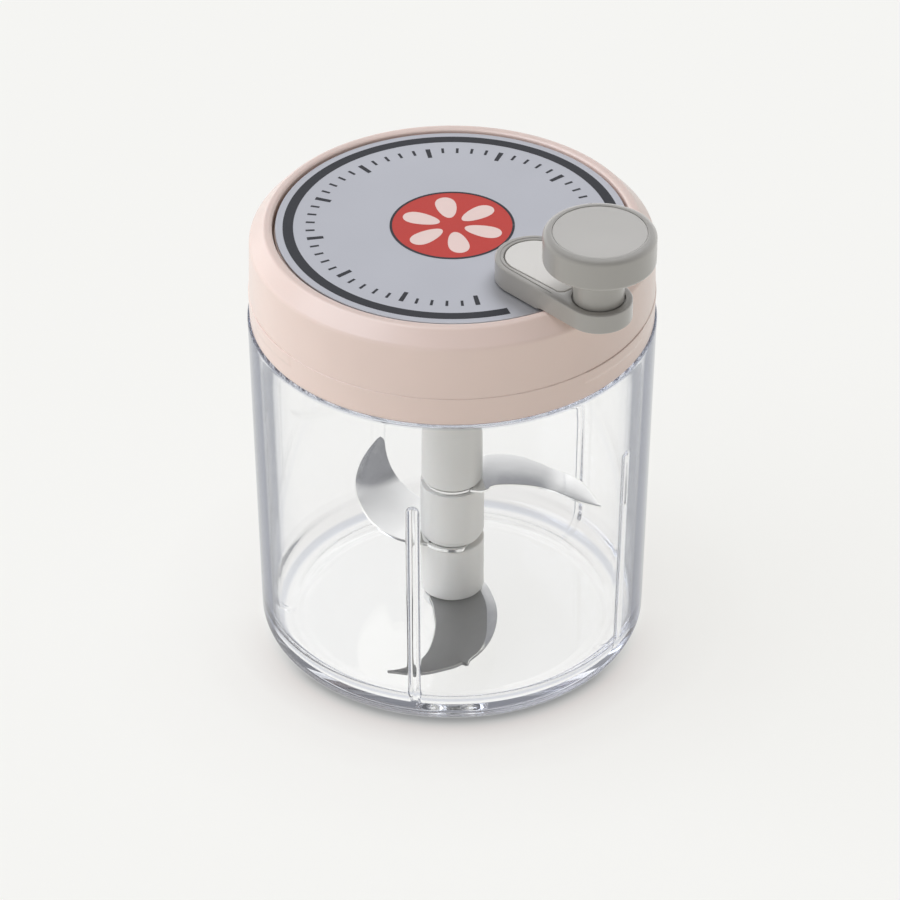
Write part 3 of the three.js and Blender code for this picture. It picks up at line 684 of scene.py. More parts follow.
def blade(name, node_name, edge, back, z0, rise=0.0, bevel=2.0, bevel_end=None, t=0.8, n=80, tilt=(0, 0, 0, 1), root=7.25, chord=(), flat=None):
    """A curved blade: a ribbon between its ground edge and its back, with a ground bevel on top, and its root plate.

    tilt gives the cross slope near the root and near the tip, in degrees, and the part of the length where one turns into the other; the outline stays
    where it is seen from in front. bevel_end is the part of the length where the bevel runs out."""
    e, b = spline(edge, n), spline(back, n)
    s = Shape()
    rings = []
    for i in range(n):
        f = i / (n - 1)
        w = b[i] - e[i]
        width = w.length
        d = w / width if width > 1e-6 else Vector((0, 0))
        k = 1.0 if bevel_end is None else 1.0 - smooth((f - bevel_end[0]) / (bevel_end[1] - bevel_end[0]))
        bw = max(0.12, bevel * k) * min(1.0, width / (bevel * 2.2))
        he = 0.22 + (t - 0.22 - 0.05) * (1 - k)
        prof = [(0.0, 0.1), (0.0, he), (bw * 0.5, he + (t - he) * 0.5), (bw - 0.06, t - 0.02), (bw + 0.1, t), (width * 0.5 + bw * 0.5, t)]
        prof += [(width - 0.22, t), (width - 0.08, t - 0.03), (width, t - 0.12), (width, 0.1), (width - 0.1, 0.0), (width * 0.5, 0.0), (min(0.3, width * 0.3), 0.0)]
        slope = math.tan(rad(tilt[0] + (tilt[1] - tilt[0]) * smooth((f - tilt[2]) / (tilt[3] - tilt[2]))))
        ring = []
        for u, h in prof:
            u = max(0.0, min(width, u))
            q = e[i] + d * u
            grow = smooth((q.length - 8.3) / 4.0)
            dz = slope * (u - width / 2) * grow
            z = z0 + h + rise * max(0.0, q.length - 9) + dz
            ring.append(len(s.v))
            s.v.append((q.x, q.y - 1.414 * dz, z))
        rings.append(ring)
    m = len(rings[0])
    for p, q in zip(rings, rings[1:]):
        s.f += [[p[i], p[(i + 1) % m], q[(i + 1) % m], q[i]] for i in range(m)]
    s.f.append(rings[0][::-1])
    s.f.append(rings[-1])
    plate = circle(0, 0, root, 96)
    if chord:
        a1, a0 = [math.atan2(y, x) for x, y in (chord[0], chord[-1])]
        turn = (a1 - a0) % (2 * math.pi)
        plate = polygon([(root * math.cos(a0 + turn * i / 90), root * math.sin(a0 + turn * i / 90)) for i in range(1, 90)] + list(chord))
    slab(s, plate, [hexagon(HEX + 0.25)], z0, z0 + t, 0.05, 0.05, 0.03, 0.03)
    o = make(name, s.v, s.f, "blade_set", "blade_steel", flat or M_BLADE, [node_name], sharp=25)
    if flat:
        # the ground bevel is brighter than the flat
        o.data.materials.append(M_BLADE)
        for f in o.data.polygons:
            if 0.9 < f.normal.z < 0.995:
                f.material_index = 1
    return o


UP_EDGE = [(3, 6), (6, 8.8), (9.2, 10.4), (11.7, 10.7), (14.8, 10.5), (18.1, 9.6), (20.3, 8.2), (22.9, 6.5), (24.8, 4.9), (27.4, 3.1), (29.8, 1.4), (32.1, -0.9), (33.8, -3.7), (35.4, -7.4), (36.5, -10.9), (36.9, -12.2), (36.8, -12.7)]
UP_BACK = [(4.5, -6.0), (7.4, -6.2), (9.0, -5.4), (9.6, -4.4), (10.6, -3.8), (12.5, -3.5), (15.8, -3.5), (19, -3.9), (21.8, -4.6), (24.5, -5.8), (27.2, -7.6), (29.8, -9.6), (31.7, -10.9), (33.6, -11.9), (36.0, -13.0), (36.5, -13.05)]
MID_EDGE = [(-5.5, -5.6), (-8.6, -5.4), (-11.7, -4.9), (-14.2, -4.0), (-17.3, -1.9), (-19.9, 1.0), (-22.0, 4.8), (-23.7, 9.0), (-24.9, 13.3), (-25.2, 17.2), (-24.8, 21.5), (-23.9, 25.5), (-22.7, 28.8), (-21.2, 32.0), (-19.8, 34.5), (-19.2, 35.0)]
MID_BACK = [(-1.0, 6.5), (-2.5, 7.2), (-5.6, 10.2), (-8.6, 13.6), (-11.4, 16.3), (-13.6, 19.3), (-15.4, 22.7), (-16.8, 27.1), (-17.4, 30.4), (-17.8, 33.6), (-18.2, 34.6), (-18.8, 35.0)]
LOW_EDGE = [(5.5, 4.6), (8.6, 0.6), (10.2, -4.2), (11.2, -9.2), (11.3, -14.6), (10.3, -20.8), (8.7, -25.4), (6.5, -29.3), (5.0, -31.25), (4.4, -32.1), (3.8, -34.0), (3.2, -33.1), (0.5, -34.8), (-3.5, -36.5), (-5.4, -37.2), (-8.1, -37.7), (-11.1, -37.6), (-13.5, -37.1), (-15.5, -36.8)]
LOW_BACK = [(-5.0, -3.0), (-5.8, -5.8), (-5.1, -8.9), (-4.6, -13.0), (-4.3, -17.5), (-4.6, -21.4), (-5.3, -25.6), (-6.4, -29.3), (-7.9, -32.0), (-9.9, -34.1), (-11.8, -35.3), (-14.0, -36.1), (-15.8, -36.4)]
blade("blade_upper_sheet", "blade_upper", UP_EDGE, UP_BACK, 42.25, bevel=1.0, tilt=(5, 12, 0.5, 0.68))
blade("blade_middle_sheet", "blade_middle", MID_EDGE, MID_BACK, 25.2, rise=0.15, bevel=0.3, tilt=(-16, -4, 0.5, 0.66), root=8.35, chord=[(2.9, -7.6), (5.8, -2.6), (6.6, 0.5), (6.9, 4.0)])
blade("blade_lower_sheet", "blade_lower", LOW_EDGE, LOW_BACK, 8.6, bevel=2.5, bevel_end=(0.3, 0.62), n=110, flat=M_BLADE_LOW)


# ------------------------------------------------------------------ lid
def blind_boss(shape, cx, cy, r, bore, z0, z1, depth):
    """An upright boss with a blind hole from below."""
    lo, hi = wall(shape, circle(cx, cy, r, 48), edge_rows(z0, z1, 0.15, 0.1))
    b0, b1 = wall(shape, circle(cx, cy, bore, 32), [(0.1, z0), (0.02, z0 + 0.03), (0, z0 + 0.12), (0, depth)], sign=-1)
    cap(shape, [lo, b0])
    cap(shape, [hi])
    cap(shape, [b1])


def make_cap():
    prof = rounded([(49.2, 99.8), (49.76, 99.8, 0.01), (49.78, 99.83, 0.01), (49.45, 112.0), (49.45, 113.4, 2.0), (45.8, 117.4, 2.3), (44.7, 117.4), (44.5, 117.4)], step=6.0)
    prof += [(44.3, 117.37), (44.1, 117.29), (43.9, 117.17), (43.77, 117.05), (43.71, 116.93), (43.7, 116.7)]
    prof += rounded([(43.7, 116.5), (43.7, 113.7, 0.15), (46.6, 113.7, 0.3), (47.2, 113.0, 0.3), (47.2, 101.5, 0.1), (49.1, 101.5, 0.1), (49.1, 99.9)])
    make("lid_cap_shell", *lathe(prof, 256, closed=True), "lid", "pink_plastic", M_PINK, ["lid_cap"], sharp=40)


def make_ring():
    """The band under the seam: an outer skirt over the bowl's neck and an inner one inside it, with keyways, screw bosses and low pads."""
    prof = rounded(
        [(48.6, 92.1, 0.1), (49.45, 92.1, 0.12), (49.75, 92.6, 0.15), (49.95, 99.79, 0.28), (48.9, 99.79, 0.1), (48.8, 101.2, 0.2), (46.1, 101.2, 0.2), (46.1, 92.85, 0.25), (47.0, 92.85, 0.25), (47.0, 99.3, 0.3), (48.6, 99.3, 0.3), (48.6, 98.45), (48.6, 98.35)],
        closed=True,
    )
    az = set(round(1.5 * k, 4) for k in range(240))
    for a in KEY_AZ:
        for d in (1.5, 1.7, 1.85, 1.95):
            for sgn in (-1, 1):
                az.add(round((a + sgn * math.degrees(d / 48.6)) % 360, 4))
    pads = [(39.3, 68.0), (287.0, 309.4)]
    for lo, hi in pads:
        for a in (lo - 0.3, lo, lo + 0.5, lo + 1.0, hi - 1.0, hi - 0.5, hi, hi + 0.3):
            az.add(a)
    az = thin(az, 0.1)

    def radius(r, z, a, i):
        if abs(r - 48.6) < 0.01 and z < 98.42:
            for c in KEY_AZ:
                d = abs(((a - c + 180) % 360 - 180) * math.pi / 180 * 48.6)
                r += 0.6 * smooth((1.95 - d) / 0.25)
        if r > 49.6:
            for lo, hi in pads:
                r += 0.12 * smooth((a - lo) / 0.8) * smooth((hi - a) / 0.8) * smooth((z - 96.5) / 0.25)
        return r

    # rows up the outer face, so that the pads have edges of their own
    full = []
    for p, q in zip(prof, prof[1:] + prof[:1]):
        full.append(p)
        if p[0] > 49.7 and q[0] > 49.7 and q[1] - p[1] > 5:
            full += [(p[0] + (q[0] - p[0]) * (z - p[1]) / (q[1] - p[1]), z) for z in (94.0, 95.5, 96.45, 96.55, 96.65, 96.75, 97.5, 98.5)]
    s = Shape().add(*swept(full, az, radius, closed=True))
    for k in KEY_AZ:
        a = rad(-90 + k + 60)
        t = Shape()
        blind_boss(t, 42.9 * math.cos(a), 42.9 * math.sin(a), 2.5, 1.4, 96.5, 101.15, 100.9)
        s.add(t.v, t.f)
        t = Shape()
        c0, s0 = math.cos(a), math.sin(a)
        pts = [(44.9, -1.1), (46.5, -1.1), (46.5, 1.1), (44.9, 1.1)]
        lo, hi = wall(t, polygon([(x * c0 - y * s0, x * s0 + y * c0) for x, y in pts]), [(0, 96.6), (0, 101.1)])
        cap(t, [lo])
        cap(t, [hi])
        s.add(t.v, t.f)
    return make("lid_ring_band", s.v, s.f, "lid", "pink_plastic", M_PINK, ["lid_ring"], sharp=40)


make_cap()
make_ring()
s = Shape().add(*lathe(rounded([(47.35, 98.6, 0.15), (48.25, 98.6, 0.15), (48.25, 99.0, 0.15), (47.35, 99.0, 0.15)], closed=True, support=0), 224, closed=True))
make("seal_ring_band", s.v, s.f, "lid", "silicone", M_SEAL, ["seal_ring"])


def make_tray():
    s = Shape()
    heads = []
    for az in KEY_AZ:
        a = rad(-90 + az + 60)
        heads.append((42.9 * math.cos(a), 42.9 * math.sin(a)))
    # underside with counterbored screw holes, upper side with a shallow seat for the ring gear
    lo, hi = wall(s, circle(0, 0, 45.8, 224), edge_rows(93.6, 96.2, 0.4, 0.2))
    boss_lo = [(3.3, 93.6), (2.8, 93.6), (2.55, 93.5), (2.5, 93.3), (2.5, 91.5), (2.42, 91.3), (2.2, 91.2), (0.2, 91.2), (0.05, 91.25), (0, 91.4), (0, 97.8), (0.05, 97.95), (0.2, 98.0), (2.2, 98.0), (2.42, 97.9), (2.5, 97.7), (2.5, 95.5), (2.55, 95.3), (2.8, 95.2), (3.3, 95.2)]
    blo, bhi = wall(s, circle(0, 0, 7.5, 128), boss_lo, sign=-1)
    seat_in, seat_out = wall(s, circle(0, 0, 39.5, 192), [(0.4, 95.2), (0.06, 95.2), (0, 95.3), (0, 96.1), (-0.06, 96.2), (-0.3, 96.2)])
    cap(s, [seat_in, bhi])
    los, his = [lo, blo], [hi, seat_out]
    for x, y in heads:
        a, b = wall(s, circle(x, y, 2.85, 48), [(0.25, 93.6), (0.1, 93.62), (0.0, 93.75), (0, 94.7), (-0.1, 94.8), (-1.2, 94.8), (-1.35, 94.9), (-1.35, 96.1), (-1.3, 96.2)], sign=-1)
        los.append(a)
        his.append(b)
    cap(s, los)
    cap(s, his)
    make("gear_tray_plate", s.v, s.f, "lid", "housing_plastic", M_HOUSING, ["gear_tray"])
    # round-head screws with a cross recess
    for i, (x, y) in enumerate(heads):
        s = Shape()
        prof = rounded([(0, 93.35), (1.5, 93.35, 0.5), (2.5, 93.9, 0.4), (2.5, 94.5, 0.1), (1.05, 94.5, 0.1), (1.05, 100.1, 0.2), (0, 100.6)])
        s.add(*lathe(prof, 48, x, y))
        o = make("tray_screw_%d_pan" % (i + 1), s.v, s.f, "lid", "pin_steel", M_PIN, ["tray_screw_%d" % (i + 1)])
        cut = []
        for w, h in ((0.5, 2.2), (2.2, 0.5)):
            c = bpy.data.meshes.new("cut")
            zz = [93.2, 93.85]
            v = [(x + sx * w / 2, y + sy * h / 2, z) for z in zz for sx, sy in ((-1, -1), (1, -1), (1, 1), (-1, 1))]
            c.from_pydata([tuple(k * MM for k in p) for p in v], [], [(3, 2, 1, 0), (4, 5, 6, 7), (0, 1, 5, 4), (1, 2, 6, 5), (2, 3, 7, 6), (3, 0, 4, 7)])
            co = bpy.data.objects.new("cut", c)
            scene.collection.objects.link(co)
            md = o.modifiers.new("cut", "BOOLEAN")
            md.object, md.operation, md.solver = co, "DIFFERENCE", "EXACT"
            cut.append(co)
        bake(o)
        for co in cut:
            bpy.data.objects.remove(co)


def bake(o):
    """Applies an object's modifiers to its mesh."""
    dg = bpy.context.evaluated_depsgraph_get()
    me = bpy.data.meshes.new_from_object(o.evaluated_get(dg))
    o.modifiers.clear()
    o.data = me
    me.shade_smooth()
    me.set_sharp_from_angle(angle=rad(38))


make_tray()
s = Shape()
slab(s, circle(0, 0, 7.2, 96), [circle(0, 0, 5.8, 96)], 91.6, 98.0, 0.2, 0.2, 0.2, 0.2)
make("drive_bush_sleeve", s.v, s.f, "lid", "gear_plastic", M_GEAR, ["drive_bush"])

# gears and the parts inside the closed lid keep their CAD shape, and get finished materials below

# drive shaft
s = Shape()
a, b = wall(s, hexagon(4.62, 0.35), edge_rows(76, 91.6, 0.5, 0))
cap(s, [a])
cap(s, [b])
s.add(*lathe(rounded([(0, 91.5), (5.5, 91.5, 0.2), (5.5, 98.3, 0.1), (7.0, 98.3, 0.15), (7.0, 99.2, 0.15), (0, 99.2)]), 96))
a, b = wall(s, hexagon(5.77, 0.35), edge_rows(99.1, 106.3, 0, 0.2))
cap(s, [a])
cap(s, [b])
s.add(*lathe(rounded([(0, 106.2), (2.5, 106.2), (2.5, 111.9, 0.3), (0, 111.9)]), 48))
make("drive_shaft_bar", s.v, s.f, "drive_shaft", "hub_plastic", M_HUB, ["drive_shaft"])


# ------------------------------------------------------------------ disc plate and its print
def make_disc():
    s = Shape()
    px, py = PIVOT * math.cos(CRANK), PIVOT * math.sin(CRANK)
    slab(s, circle(0, 0, 43.0, 256), [circle(px, py, 4.0, 48)], 116.1, 116.8, 0.12, 0.18, 0.05, 0.05)
    make("disc_plate_sheet", s.v, s.f, "turntable", "disc_metal", M_DISC, ["disc_plate"])


def sector(shape, r0, r1, a0, a1, z0, z1, n=None, ends=True):
    """A flat ring sector from angle a0 to a1, in degrees from +X."""
    n = n or max(2, int(abs(a1 - a0) / 1.5))
    pts = [(r1 * math.cos(rad(a0 + (a1 - a0) * i / n)), r1 * math.sin(rad(a0 + (a1 - a0) * i / n))) for i in range(n + 1)]
    pts += [(r0 * math.cos(rad(a1 - (a1 - a0) * i / n)), r0 * math.sin(rad(a1 - (a1 - a0) * i / n))) for i in range(n + 1)]
    k = len(shape.v)
    m = len(pts)
    shape.v += [(x, y, z0) for x, y in pts] + [(x, y, z1) for x, y in pts]
    for i in range(n):
        j = m - 1 - i
        shape.f.append([k + i, k + i + 1, k + j - 1, k + j])
        shape.f.append([k + m + i, k + m + j, k + m + j - 1, k + m + i + 1])
    shape.f += [[k + i, k + (i + 1) % m, k + m + (i + 1) % m, k + m + i] for i in range(m)]


def disc_print():
    """Border ring with a gap at the arm, dial ticks, and a plain slice motif, all as thin ink layers."""
    z0, z1 = 116.79, 116.84
    arm = math.degrees(CRANK)
    s = Shape()
    sector(s, 38.6, 41.15, arm + 20.4, arm + 360 - 20.4, z0, z1)
    for k in range(60):
        a = arm + 6 * k
        if min(k, 60 - k) * 6 < 26:
            continue
        long = k % 5 == 0
        w = 0.95 if long else 0.55
        sector(s, 31.6 if long else 33.4, 35.6, a - w, a + w, z0, z1, n=2)
    # slice outline and the walls between its chambers
    sector(s, 14.6, 15.2, 0, 360, z0 + 0.02, z1 + 0.03, n=180)
    make("disc_print_dark", s.v, s.f, "turntable", "disc_metal", M_INK)
    s = Shape()
    s.add(*lathe([(0, z0), (14.7, z0), (14.7, z1), (0, z1)], 180))
    make("disc_print_red", s.v, s.f, "turntable", "disc_metal", M_RED)
    s = Shape()
    for k in range(6):
        # six rounded chambers
        a = rad(arm + 30 + 60 * k)
        pts = []
        c0, s0 = math.cos(a), math.sin(a)
        for i in range(48):
            t = 2 * math.pi * i / 48
            rr = 4.3 + 0.5 * math.cos(2 * t) - 0.45 * math.cos(t)
            u, v = 8.4 + rr * math.cos(t) * 0.98, rr * math.sin(t) * (0.66 + 0.17 * math.cos(t))
            pts.append((u * c0 - v * s0, u * s0 + v * c0))
        t = Shape()
        lo, hi = wall(t, polygon(pts), [(0, z1 - 0.02), (0, z1 + 0.03)])
        cap(t, [lo])
        cap(t, [hi])
        s.add(t.v, t.f)
    make("disc_print_pale", s.v, s.f, "turntable", "disc_metal", M_PALE)


make_disc()
disc_print()


# turntable: only its rim shows in the gap round the disc; underneath it carries the gears
def make_turntable():
    s = Shape()
    px, py = PIVOT * math.cos(CRANK), PIVOT * math.sin(CRANK)
    prof = rounded([(0, 115.8), (43.2, 115.8, 0.2), (43.2, 113.4, 0.1), (45.2, 113.3, 0.2), (45.2, 111.2, 0.3), (41.2, 111.2, 0.2), (41.2, 113.2, 0.3), (39.2, 113.2, 0.3), (39.2, 106.9, 0.3), (37.6, 106.9, 0.3), (37.6, 113.2, 0.4), (6.0, 113.2, 0.4), (6.0, 107.2, 0.3), (2.8, 107.2, 0.2), (2.8, 112.3, 0.1), (0, 112.3)])
    s.add(*lathe(prof, 224))
    t = Shape()
    slab(t, circle(px, py, 6.2, 64), [circle(px, py, 3.8, 48)], 109.6, 113.4, 0.3, 0, 0.2, 0)
    s.add(t.v, t.f)
    for i in range(3):
        a = CRANK + rad(60 + 120 * i)
        t = Shape()
        slab(t, circle(23.4 * math.cos(a), 23.4 * math.sin(a), 4.2, 64), [circle(23.4 * math.cos(a), 23.4 * math.sin(a), 2.7, 48)], 107.2, 113.4, 0.3, 0, 0.2, 0)
        s.add(t.v, t.f)
    make("turntable_plate", s.v, s.f, "turntable", "pink_plastic", M_PINK, ["turntable"])


make_turntable()


# ------------------------------------------------------------------ arm
def make_arm():
    s = Shape()
    outline = egg(PIVOT, 9.5, KNOB, 8.1)

    def on_foot(x, y):
        return math.hypot(x - PIVOT, y) < 12.9 or (y < -4 and math.hypot(x, y) < 42.75)

    def foot(x, y, z):
        # the side wall reaches lower along the foot that lies over the disc
        if z > 119.2:
            return z
        low = 1.0 - smooth((math.hypot(x - PIVOT, y) - 12.65) / 0.5)
        if y < 0:
            low = max(low, 1.0 - smooth((math.hypot(x, y) - 42.5) / 0.5))
        return z - 0.65 * low * (1.0 - smooth((z - 118.3) / 0.8))

    rows = edge_rows(117.75, 122.9, 0.3, 0.42, seg=6)
    half = len(rows) // 2
    rows = rows[:half] + [(0, 118.5), (0, 118.8), (0, 119.2), (0, 120.5)] + rows[half:]
    lo, hi = wall(s, outline, rows, bend=foot)
    cap(s, [lo])
    pocket = [(0.09, 122.9), (0.03, 122.87), (0, 122.8), (0, 121.8), (-0.05, 121.73), (-0.2, 121.7)]
    p_hi, p_lo = wall(s, panel(PIVOT, 7.4, 46.75, 5.6, 1.9), pocket, sign=-1)
    cap(s, [p_lo])
    well = [(0.12, 122.9), (0.04, 122.87), (0, 122.78), (0, 122.42), (-0.08, 122.33), (-0.3, 122.3)]
    w_hi, w_lo = wall(s, circle(KNOB, 0, 6.4, 96), well, sign=-1)
    cap(s, [w_lo])

    # a thin line pressed into the rim, along both sides and round the pivot end
    def part(off, end=45.2):
        pts = outline(off)
        n, m = 41, 35
        arc, low, high = pts[:n], pts[n : n + m], pts[2 * n + m :]
        path = [p for p in high if p[0] < end] + arc + [p for p in low if p[0] < end]
        return path

    a, b = part(1.16), part(1.4)
    g_hi, g_lo = wall(s, polygon(a + b[::-1]), [(0, 122.9), (0, 122.74)])
    cap(s, [g_lo])
    cap(s, [hi, p_hi, w_hi, g_hi])
    # the foot's flat face and its step
    pts = [(x, y) for x, y in outline(0.35)]
    k = pts.index(max((p for p in pts if p[1] > 0 and on_foot(*p)), key=lambda p: p[0]))
    pts = pts[k:] + pts[:k]
    pts = [p for p in pts if on_foot(*p)]
    a0 = math.atan2(pts[-1][1], pts[-1][0])
    a1 = -math.asin(4 / 42.75)
    arc = [(42.75 * math.cos(a0 + (a1 - a0) * i / 10), 42.75 * math.sin(a0 + (a1 - a0) * i / 10)) for i in range(1, 11)]
    b0, b1 = -math.asin(4 / 12.9) + 0.03, math.atan2(pts[0][1], pts[0][0] - PIVOT)
    arc += [(PIVOT + 12.9 * math.cos(b0 + (b1 - b0) * i / 24), 12.9 * math.sin(b0 + (b1 - b0) * i / 24)) for i in range(24)]
    t = Shape()
    lo, hi = wall(t, polygon(pts + arc), [(0, 117.1), (0, 118.3)])
    cap(t, [lo])
    cap(t, [hi])
    s.add(t.v, t.f)
    s.turn(CRANK)
    make("crank_arm_body", s.v, s.f, "crank_arm", "grey_plastic", M_GREY, ["crank_arm"])
    s = Shape()
    rows = edge_rows(122.0, 122.9, 0.05, 0.22, seg=6)
    lo, hi = wall(s, panel(PIVOT, 7.05, 46.4, 5.6, 1.6), rows)
    cap(s, [lo])
    cap(s, [hi])
    s.turn(CRANK)
    make("arm_insert_panel", s.v, s.f, "crank_arm", "grey_plastic", M_GREY_TOP, ["arm_insert"])


make_arm()


# ------------------------------------------------------------------ knob
def make_knob():
    cx, cy = KNOB * math.cos(CRANK), KNOB * math.sin(CRANK)
    prof = rounded([(3.2, 127.0), (3.2, 122.6, 0.1), (6.05, 122.6, 0.2), (6.05, 133.0, 0.5), (13.39, 133.0, 0.9), (13.39, 139.7)])
    # a full round round the top, down to the seat of the cap
    prof += [(11.94 + 1.45 * math.cos(rad(6 * k)), 139.7 + 1.45 * math.sin(rad(6 * k))) for k in range(1, 15)]
    prof += [(11.9, 141.17), (11.55, 141.18), (11.38, 141.16), (11.27, 141.1), (11.2, 141.0)]
    prof += rounded([(11.2, 140.9), (11.2, 139.9, 0.1), (5.4, 139.9, 0.1), (5.4, 136.9, 0.1), (3.2, 136.9, 0.1), (3.2, 128.0)])
    make("knob_body", *lathe(prof, 192, cx, cy, closed=True), "knob", "grey_plastic", M_GREY, ["knob"])
    # the cap takes the lighter copy of the grey, as painted light on the top face
    prof = rounded([(0, 140.2), (11.15, 140.2, 0.1), (11.15, 141.02, 0.18), (9.5, 141.03), (0, 140.97)])
    make("knob_cap_disc", *lathe(prof, 192, cx, cy), "knob", "grey_plastic", M_GREY_CAP_PAINTED_LIGHT, ["knob_cap"])


make_knob()

# ------------------------------------------------------------------ CAD nodes that stay
for name, m in {
    "ring_gear": M_GEAR, "sun_gear": M_GEAR, "planet_gear_1": M_GEAR, "planet_gear_2": M_GEAR, "planet_gear_3": M_GEAR,
    "planet_pin_1": M_PIN, "planet_pin_2": M_PIN, "planet_pin_3": M_PIN, "arm_pivot_pin": M_PIN, "pivot_clip": M_PIN,
    "knob_post": M_PIN, "knob_screw": M_PIN,
}.items():
    o = frame["nodes"][name]
    if not o.material_slots:
        o.data.materials.append(m)
    for sl in o.material_slots:
        sl.material = m

# ------------------------------------------------------------------ stage, camera, light
floor_mesh = bpy.data.meshes.new("floor")
floor_mesh.from_pydata([(-6, -4, 0), (6, -4, 0), (6, 8, 0), (-6, 8, 0)], [], [(0, 1, 2, 3)])
floor = bpy.data.objects.new("floor", floor_mesh)
floor.location.z = -0.00015
scene.collection.objects.link(floor)
fm, fnt, fp = material("floor_paper")
fp.inputs["Base Color"].default_value = (0.15, 0.149, 0.146, 1)
fp.inputs["Roughness"].default_value = 0.95
fp.inputs["Specular IOR Level"].default_value = 0.0
# evenly bright from its emission; the emission ramps paint a soft shadow ring round the object, a dark contact shadow
# in front of it, and extra light on the floor under the bowl
ftc = node(fnt, "ShaderNodeTexCoord")
flen = node(fnt, "ShaderNodeVectorMath", operation="LENGTH")
fnt.links.new(ftc.outputs["Object"], flen.inputs[0])
fmr = node(fnt, "ShaderNodeMapRange")
fmr.inputs["From Max"].default_value = 0.1
fnt.links.new(flen.outputs["Value"], fmr.inputs["Value"])
floor_painted_light_and_shade_ramps = []
for fstops in (
    [(0.0, 1.12), (0.44, 1.12), (0.47, 1.0), (0.5, 0.95), (0.6, 0.975), (0.8, 1.0)],
    [(0.0, 1.12), (0.422, 1.12), (0.437, 0.34), (0.45, 0.25), (0.462, 0.37), (0.472, 0.53), (0.483, 0.66), (0.494, 0.75), (0.506, 0.8), (0.53, 0.86), (0.58, 0.935), (0.7, 0.98), (0.95, 1.0)],
):
    framp = node(fnt, "ShaderNodeValToRGB")
    while len(framp.color_ramp.elements) < len(fstops):
        framp.color_ramp.elements.new(0.5)
    for el, (pos, v) in zip(framp.color_ramp.elements, fstops):
        el.position = pos
    for el, (pos, v) in zip(framp.color_ramp.elements, fstops):
        # the painted shadow is tinted warmer where it is half dark
        warm = max(0.0, min(1.0 - v, v - 0.5)) * 0.2
        el.color = (v, v * (0.995 - warm), v * (0.962 - warm), 1)
    fnt.links.new(fmr.outputs["Result"], framp.inputs["Fac"])
    floor_painted_light_and_shade_ramps.append(framp)
fsep = node(fnt, "ShaderNodeSeparateXYZ")
fnt.links.new(ftc.outputs["Object"], fsep.inputs["Vector"])
painted_shadow_front_mask = node(fnt, "ShaderNodeMapRange")
painted_shadow_front_mask.inputs["From Min"].default_value = 0.0
painted_shadow_front_mask.inputs["From Max"].default_value = -0.03
fnt.links.new(fsep.outputs["Y"], painted_shadow_front_mask.inputs["Value"])
fmix = node(fnt, "ShaderNodeMix", data_type="RGBA")
# the painted contact shadow is shown to camera rays only, so it stays out of the reflections in the clear wall
flp = node(fnt, "ShaderNodeLightPath")
fseen = node(fnt, "ShaderNodeMath", operation="MULTIPLY")
fnt.links.new(painted_shadow_front_mask.outputs["Result"], fseen.inputs[0])
fnt.links.new(flp.outputs["Is Camera Ray"], fseen.inputs[1])
fnt.links.new(fseen.outputs["Value"], fmix.inputs["Factor"])
fnt.links.new(floor_painted_light_and_shade_ramps[0].outputs["Color"], fmix.inputs[6])
fnt.links.new(floor_painted_light_and_shade_ramps[1].outputs["Color"], fmix.inputs[7])
fnt.links.new(fmix.outputs[2], fp.inputs["Emission Color"])
fp.inputs["Emission Strength"].default_value = 0.78
# the floor is clear from underneath, so that the flat base can be looked at
fgeo = node(fnt, "ShaderNodeNewGeometry")
fclear = node(fnt, "ShaderNodeBsdfTransparent")
fside = node(fnt, "ShaderNodeMixShader")
fnt.links.new(fgeo.outputs["Backfacing"], fside.inputs["Fac"])
fnt.links.new(fp.outputs["BSDF"], fside.inputs[1])
fnt.links.new(fclear.outputs["BSDF"], fside.inputs[2])
fnt.links.new(fside.outputs["Shader"], fnt.nodes["Material Output"].inputs["Surface"])
floor_mesh.materials.append(fm)

cam = bpy.data.cameras.new("camera")
cam.sensor_width = 36.0
cam.lens = 4532.0 / 900.0 * 36.0
cam.clip_start = 0.01
cam.clip_end = 50
camera = bpy.data.objects.new("camera", cam)
camera.location = (-0.00054, -0.929, 0.7068)
camera.rotation_euler = (rad(90 - 35.26), 0, 0)
scene.collection.objects.link(camera)
scene.camera = camera

world = bpy.data.worlds.new("studio")
world.use_nodes = True
scene.world = world
wnt = world.node_tree
bg = wnt.nodes["Background"]
# a bright ceiling and horizon with a dim band between them, brighter to the left
tc = wnt.nodes.new("ShaderNodeTexCoord")
sep = wnt.nodes.new("ShaderNodeSeparateXYZ")
wnt.links.new(tc.outputs["Generated"], sep.inputs["Vector"])
ramp = wnt.nodes.new("ShaderNodeValToRGB")
stops = [
    (0.0, (1.2, 1.2, 1.2)), (0.22, (1.15, 1.15, 1.155)), (0.42, (0.6, 0.605, 0.62)), (0.56, (0.24, 0.245, 0.27)),
    (0.75, (0.24, 0.245, 0.27)), (0.88, (0.8, 0.8, 0.8)), (1.0, (1.3, 1.3, 1.28)),
]
els = ramp.color_ramp.elements
while len(els) < len(stops):
    els.new(0.5)
for el, (pos, c) in zip(els, stops):
    el.position = pos
for el, (pos, c) in zip(ramp.color_ramp.elements, stops):
    el.color = (c[0], c[1], c[2], 1)
wnt.links.new(sep.outputs["Z"], ramp.inputs["Fac"])
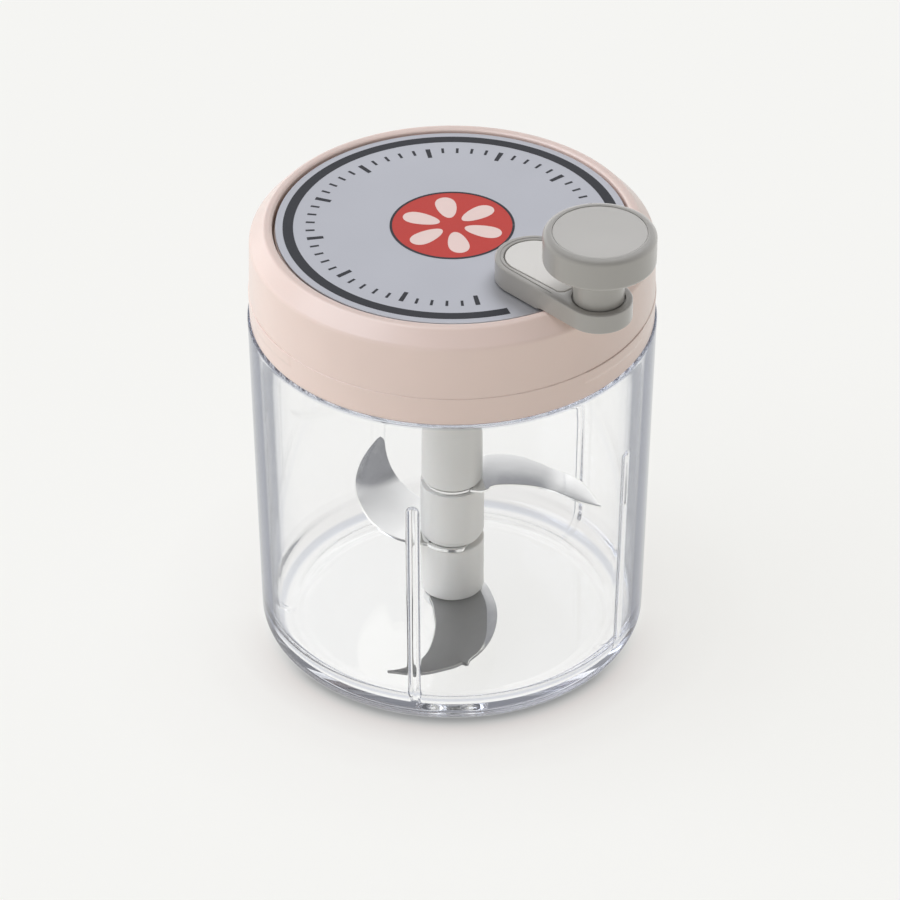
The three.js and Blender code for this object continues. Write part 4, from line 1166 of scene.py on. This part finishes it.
wnt.links.new(ramp.outputs["Color"], bg.inputs["Color"])
side = wnt.nodes.new("ShaderNodeVectorMath")
side.operation = "DOT_PRODUCT"
side.inputs[1].default_value = (-0.31, 0.34, 0.0)
wnt.links.new(tc.outputs["Generated"], side.inputs[0])
level = wnt.nodes.new("ShaderNodeMath")
level.inputs[1].default_value = 0.81
wnt.links.new(side.outputs["Value"], level.inputs[0])
wnt.links.new(level.outputs["Value"], bg.inputs["Strength"])


key = bpy.data.lights.new("key", "SUN")
key.energy = 1.6
key.angle = rad(55)
key.color = (0.94, 0.99, 1.1)
key_lamp = bpy.data.objects.new("key", key)
key_lamp.rotation_euler = Vector((-0.75, -0.1, 1.0)).to_track_quat("Z", "Y").to_euler()
scene.collection.objects.link(key_lamp)

# the disc, arm and knob are lit from behind on the right instead, so the arm's shade falls on the disc in front of it
cross = bpy.data.lights.new("cross", "SUN")
cross.energy = 1.6
cross.angle = rad(35)
cross.color = (0.97, 0.99, 1.05)
cross_lamp = bpy.data.objects.new("cross", cross)
cross_lamp.visible_glossy = False
cross_lamp.rotation_euler = Vector((0.45, 0.75, 1.1)).to_track_quat("Z", "Y").to_euler()
scene.collection.objects.link(cross_lamp)
on_top = ("disc_plate_sheet", "disc_print_dark", "disc_print_red", "disc_print_pale", "crank_arm_body", "arm_insert_panel", "knob_body", "knob_cap_disc")
lit, unlit = bpy.data.collections.new("lit_by_cross"), bpy.data.collections.new("unlit_by_key")
for n in on_top:
    lit.objects.link(bpy.data.objects[n])
    unlit.objects.link(bpy.data.objects[n])
for c in unlit.collection_objects:
    c.light_linking.link_state = "EXCLUDE"
cross_lamp.light_linking.receiver_collection = lit
key_lamp.light_linking.receiver_collection = unlit

scene.view_settings.view_transform = "Standard"
scene.view_settings.look = "None"
scene.cycles.use_denoising = True
scene.cycles.max_bounces = 64
scene.cycles.transmission_bounces = 64
scene.cycles.transparent_max_bounces = 24
scene.cycles.glossy_bounces = 64
scene.cycles.diffuse_bounces = 5
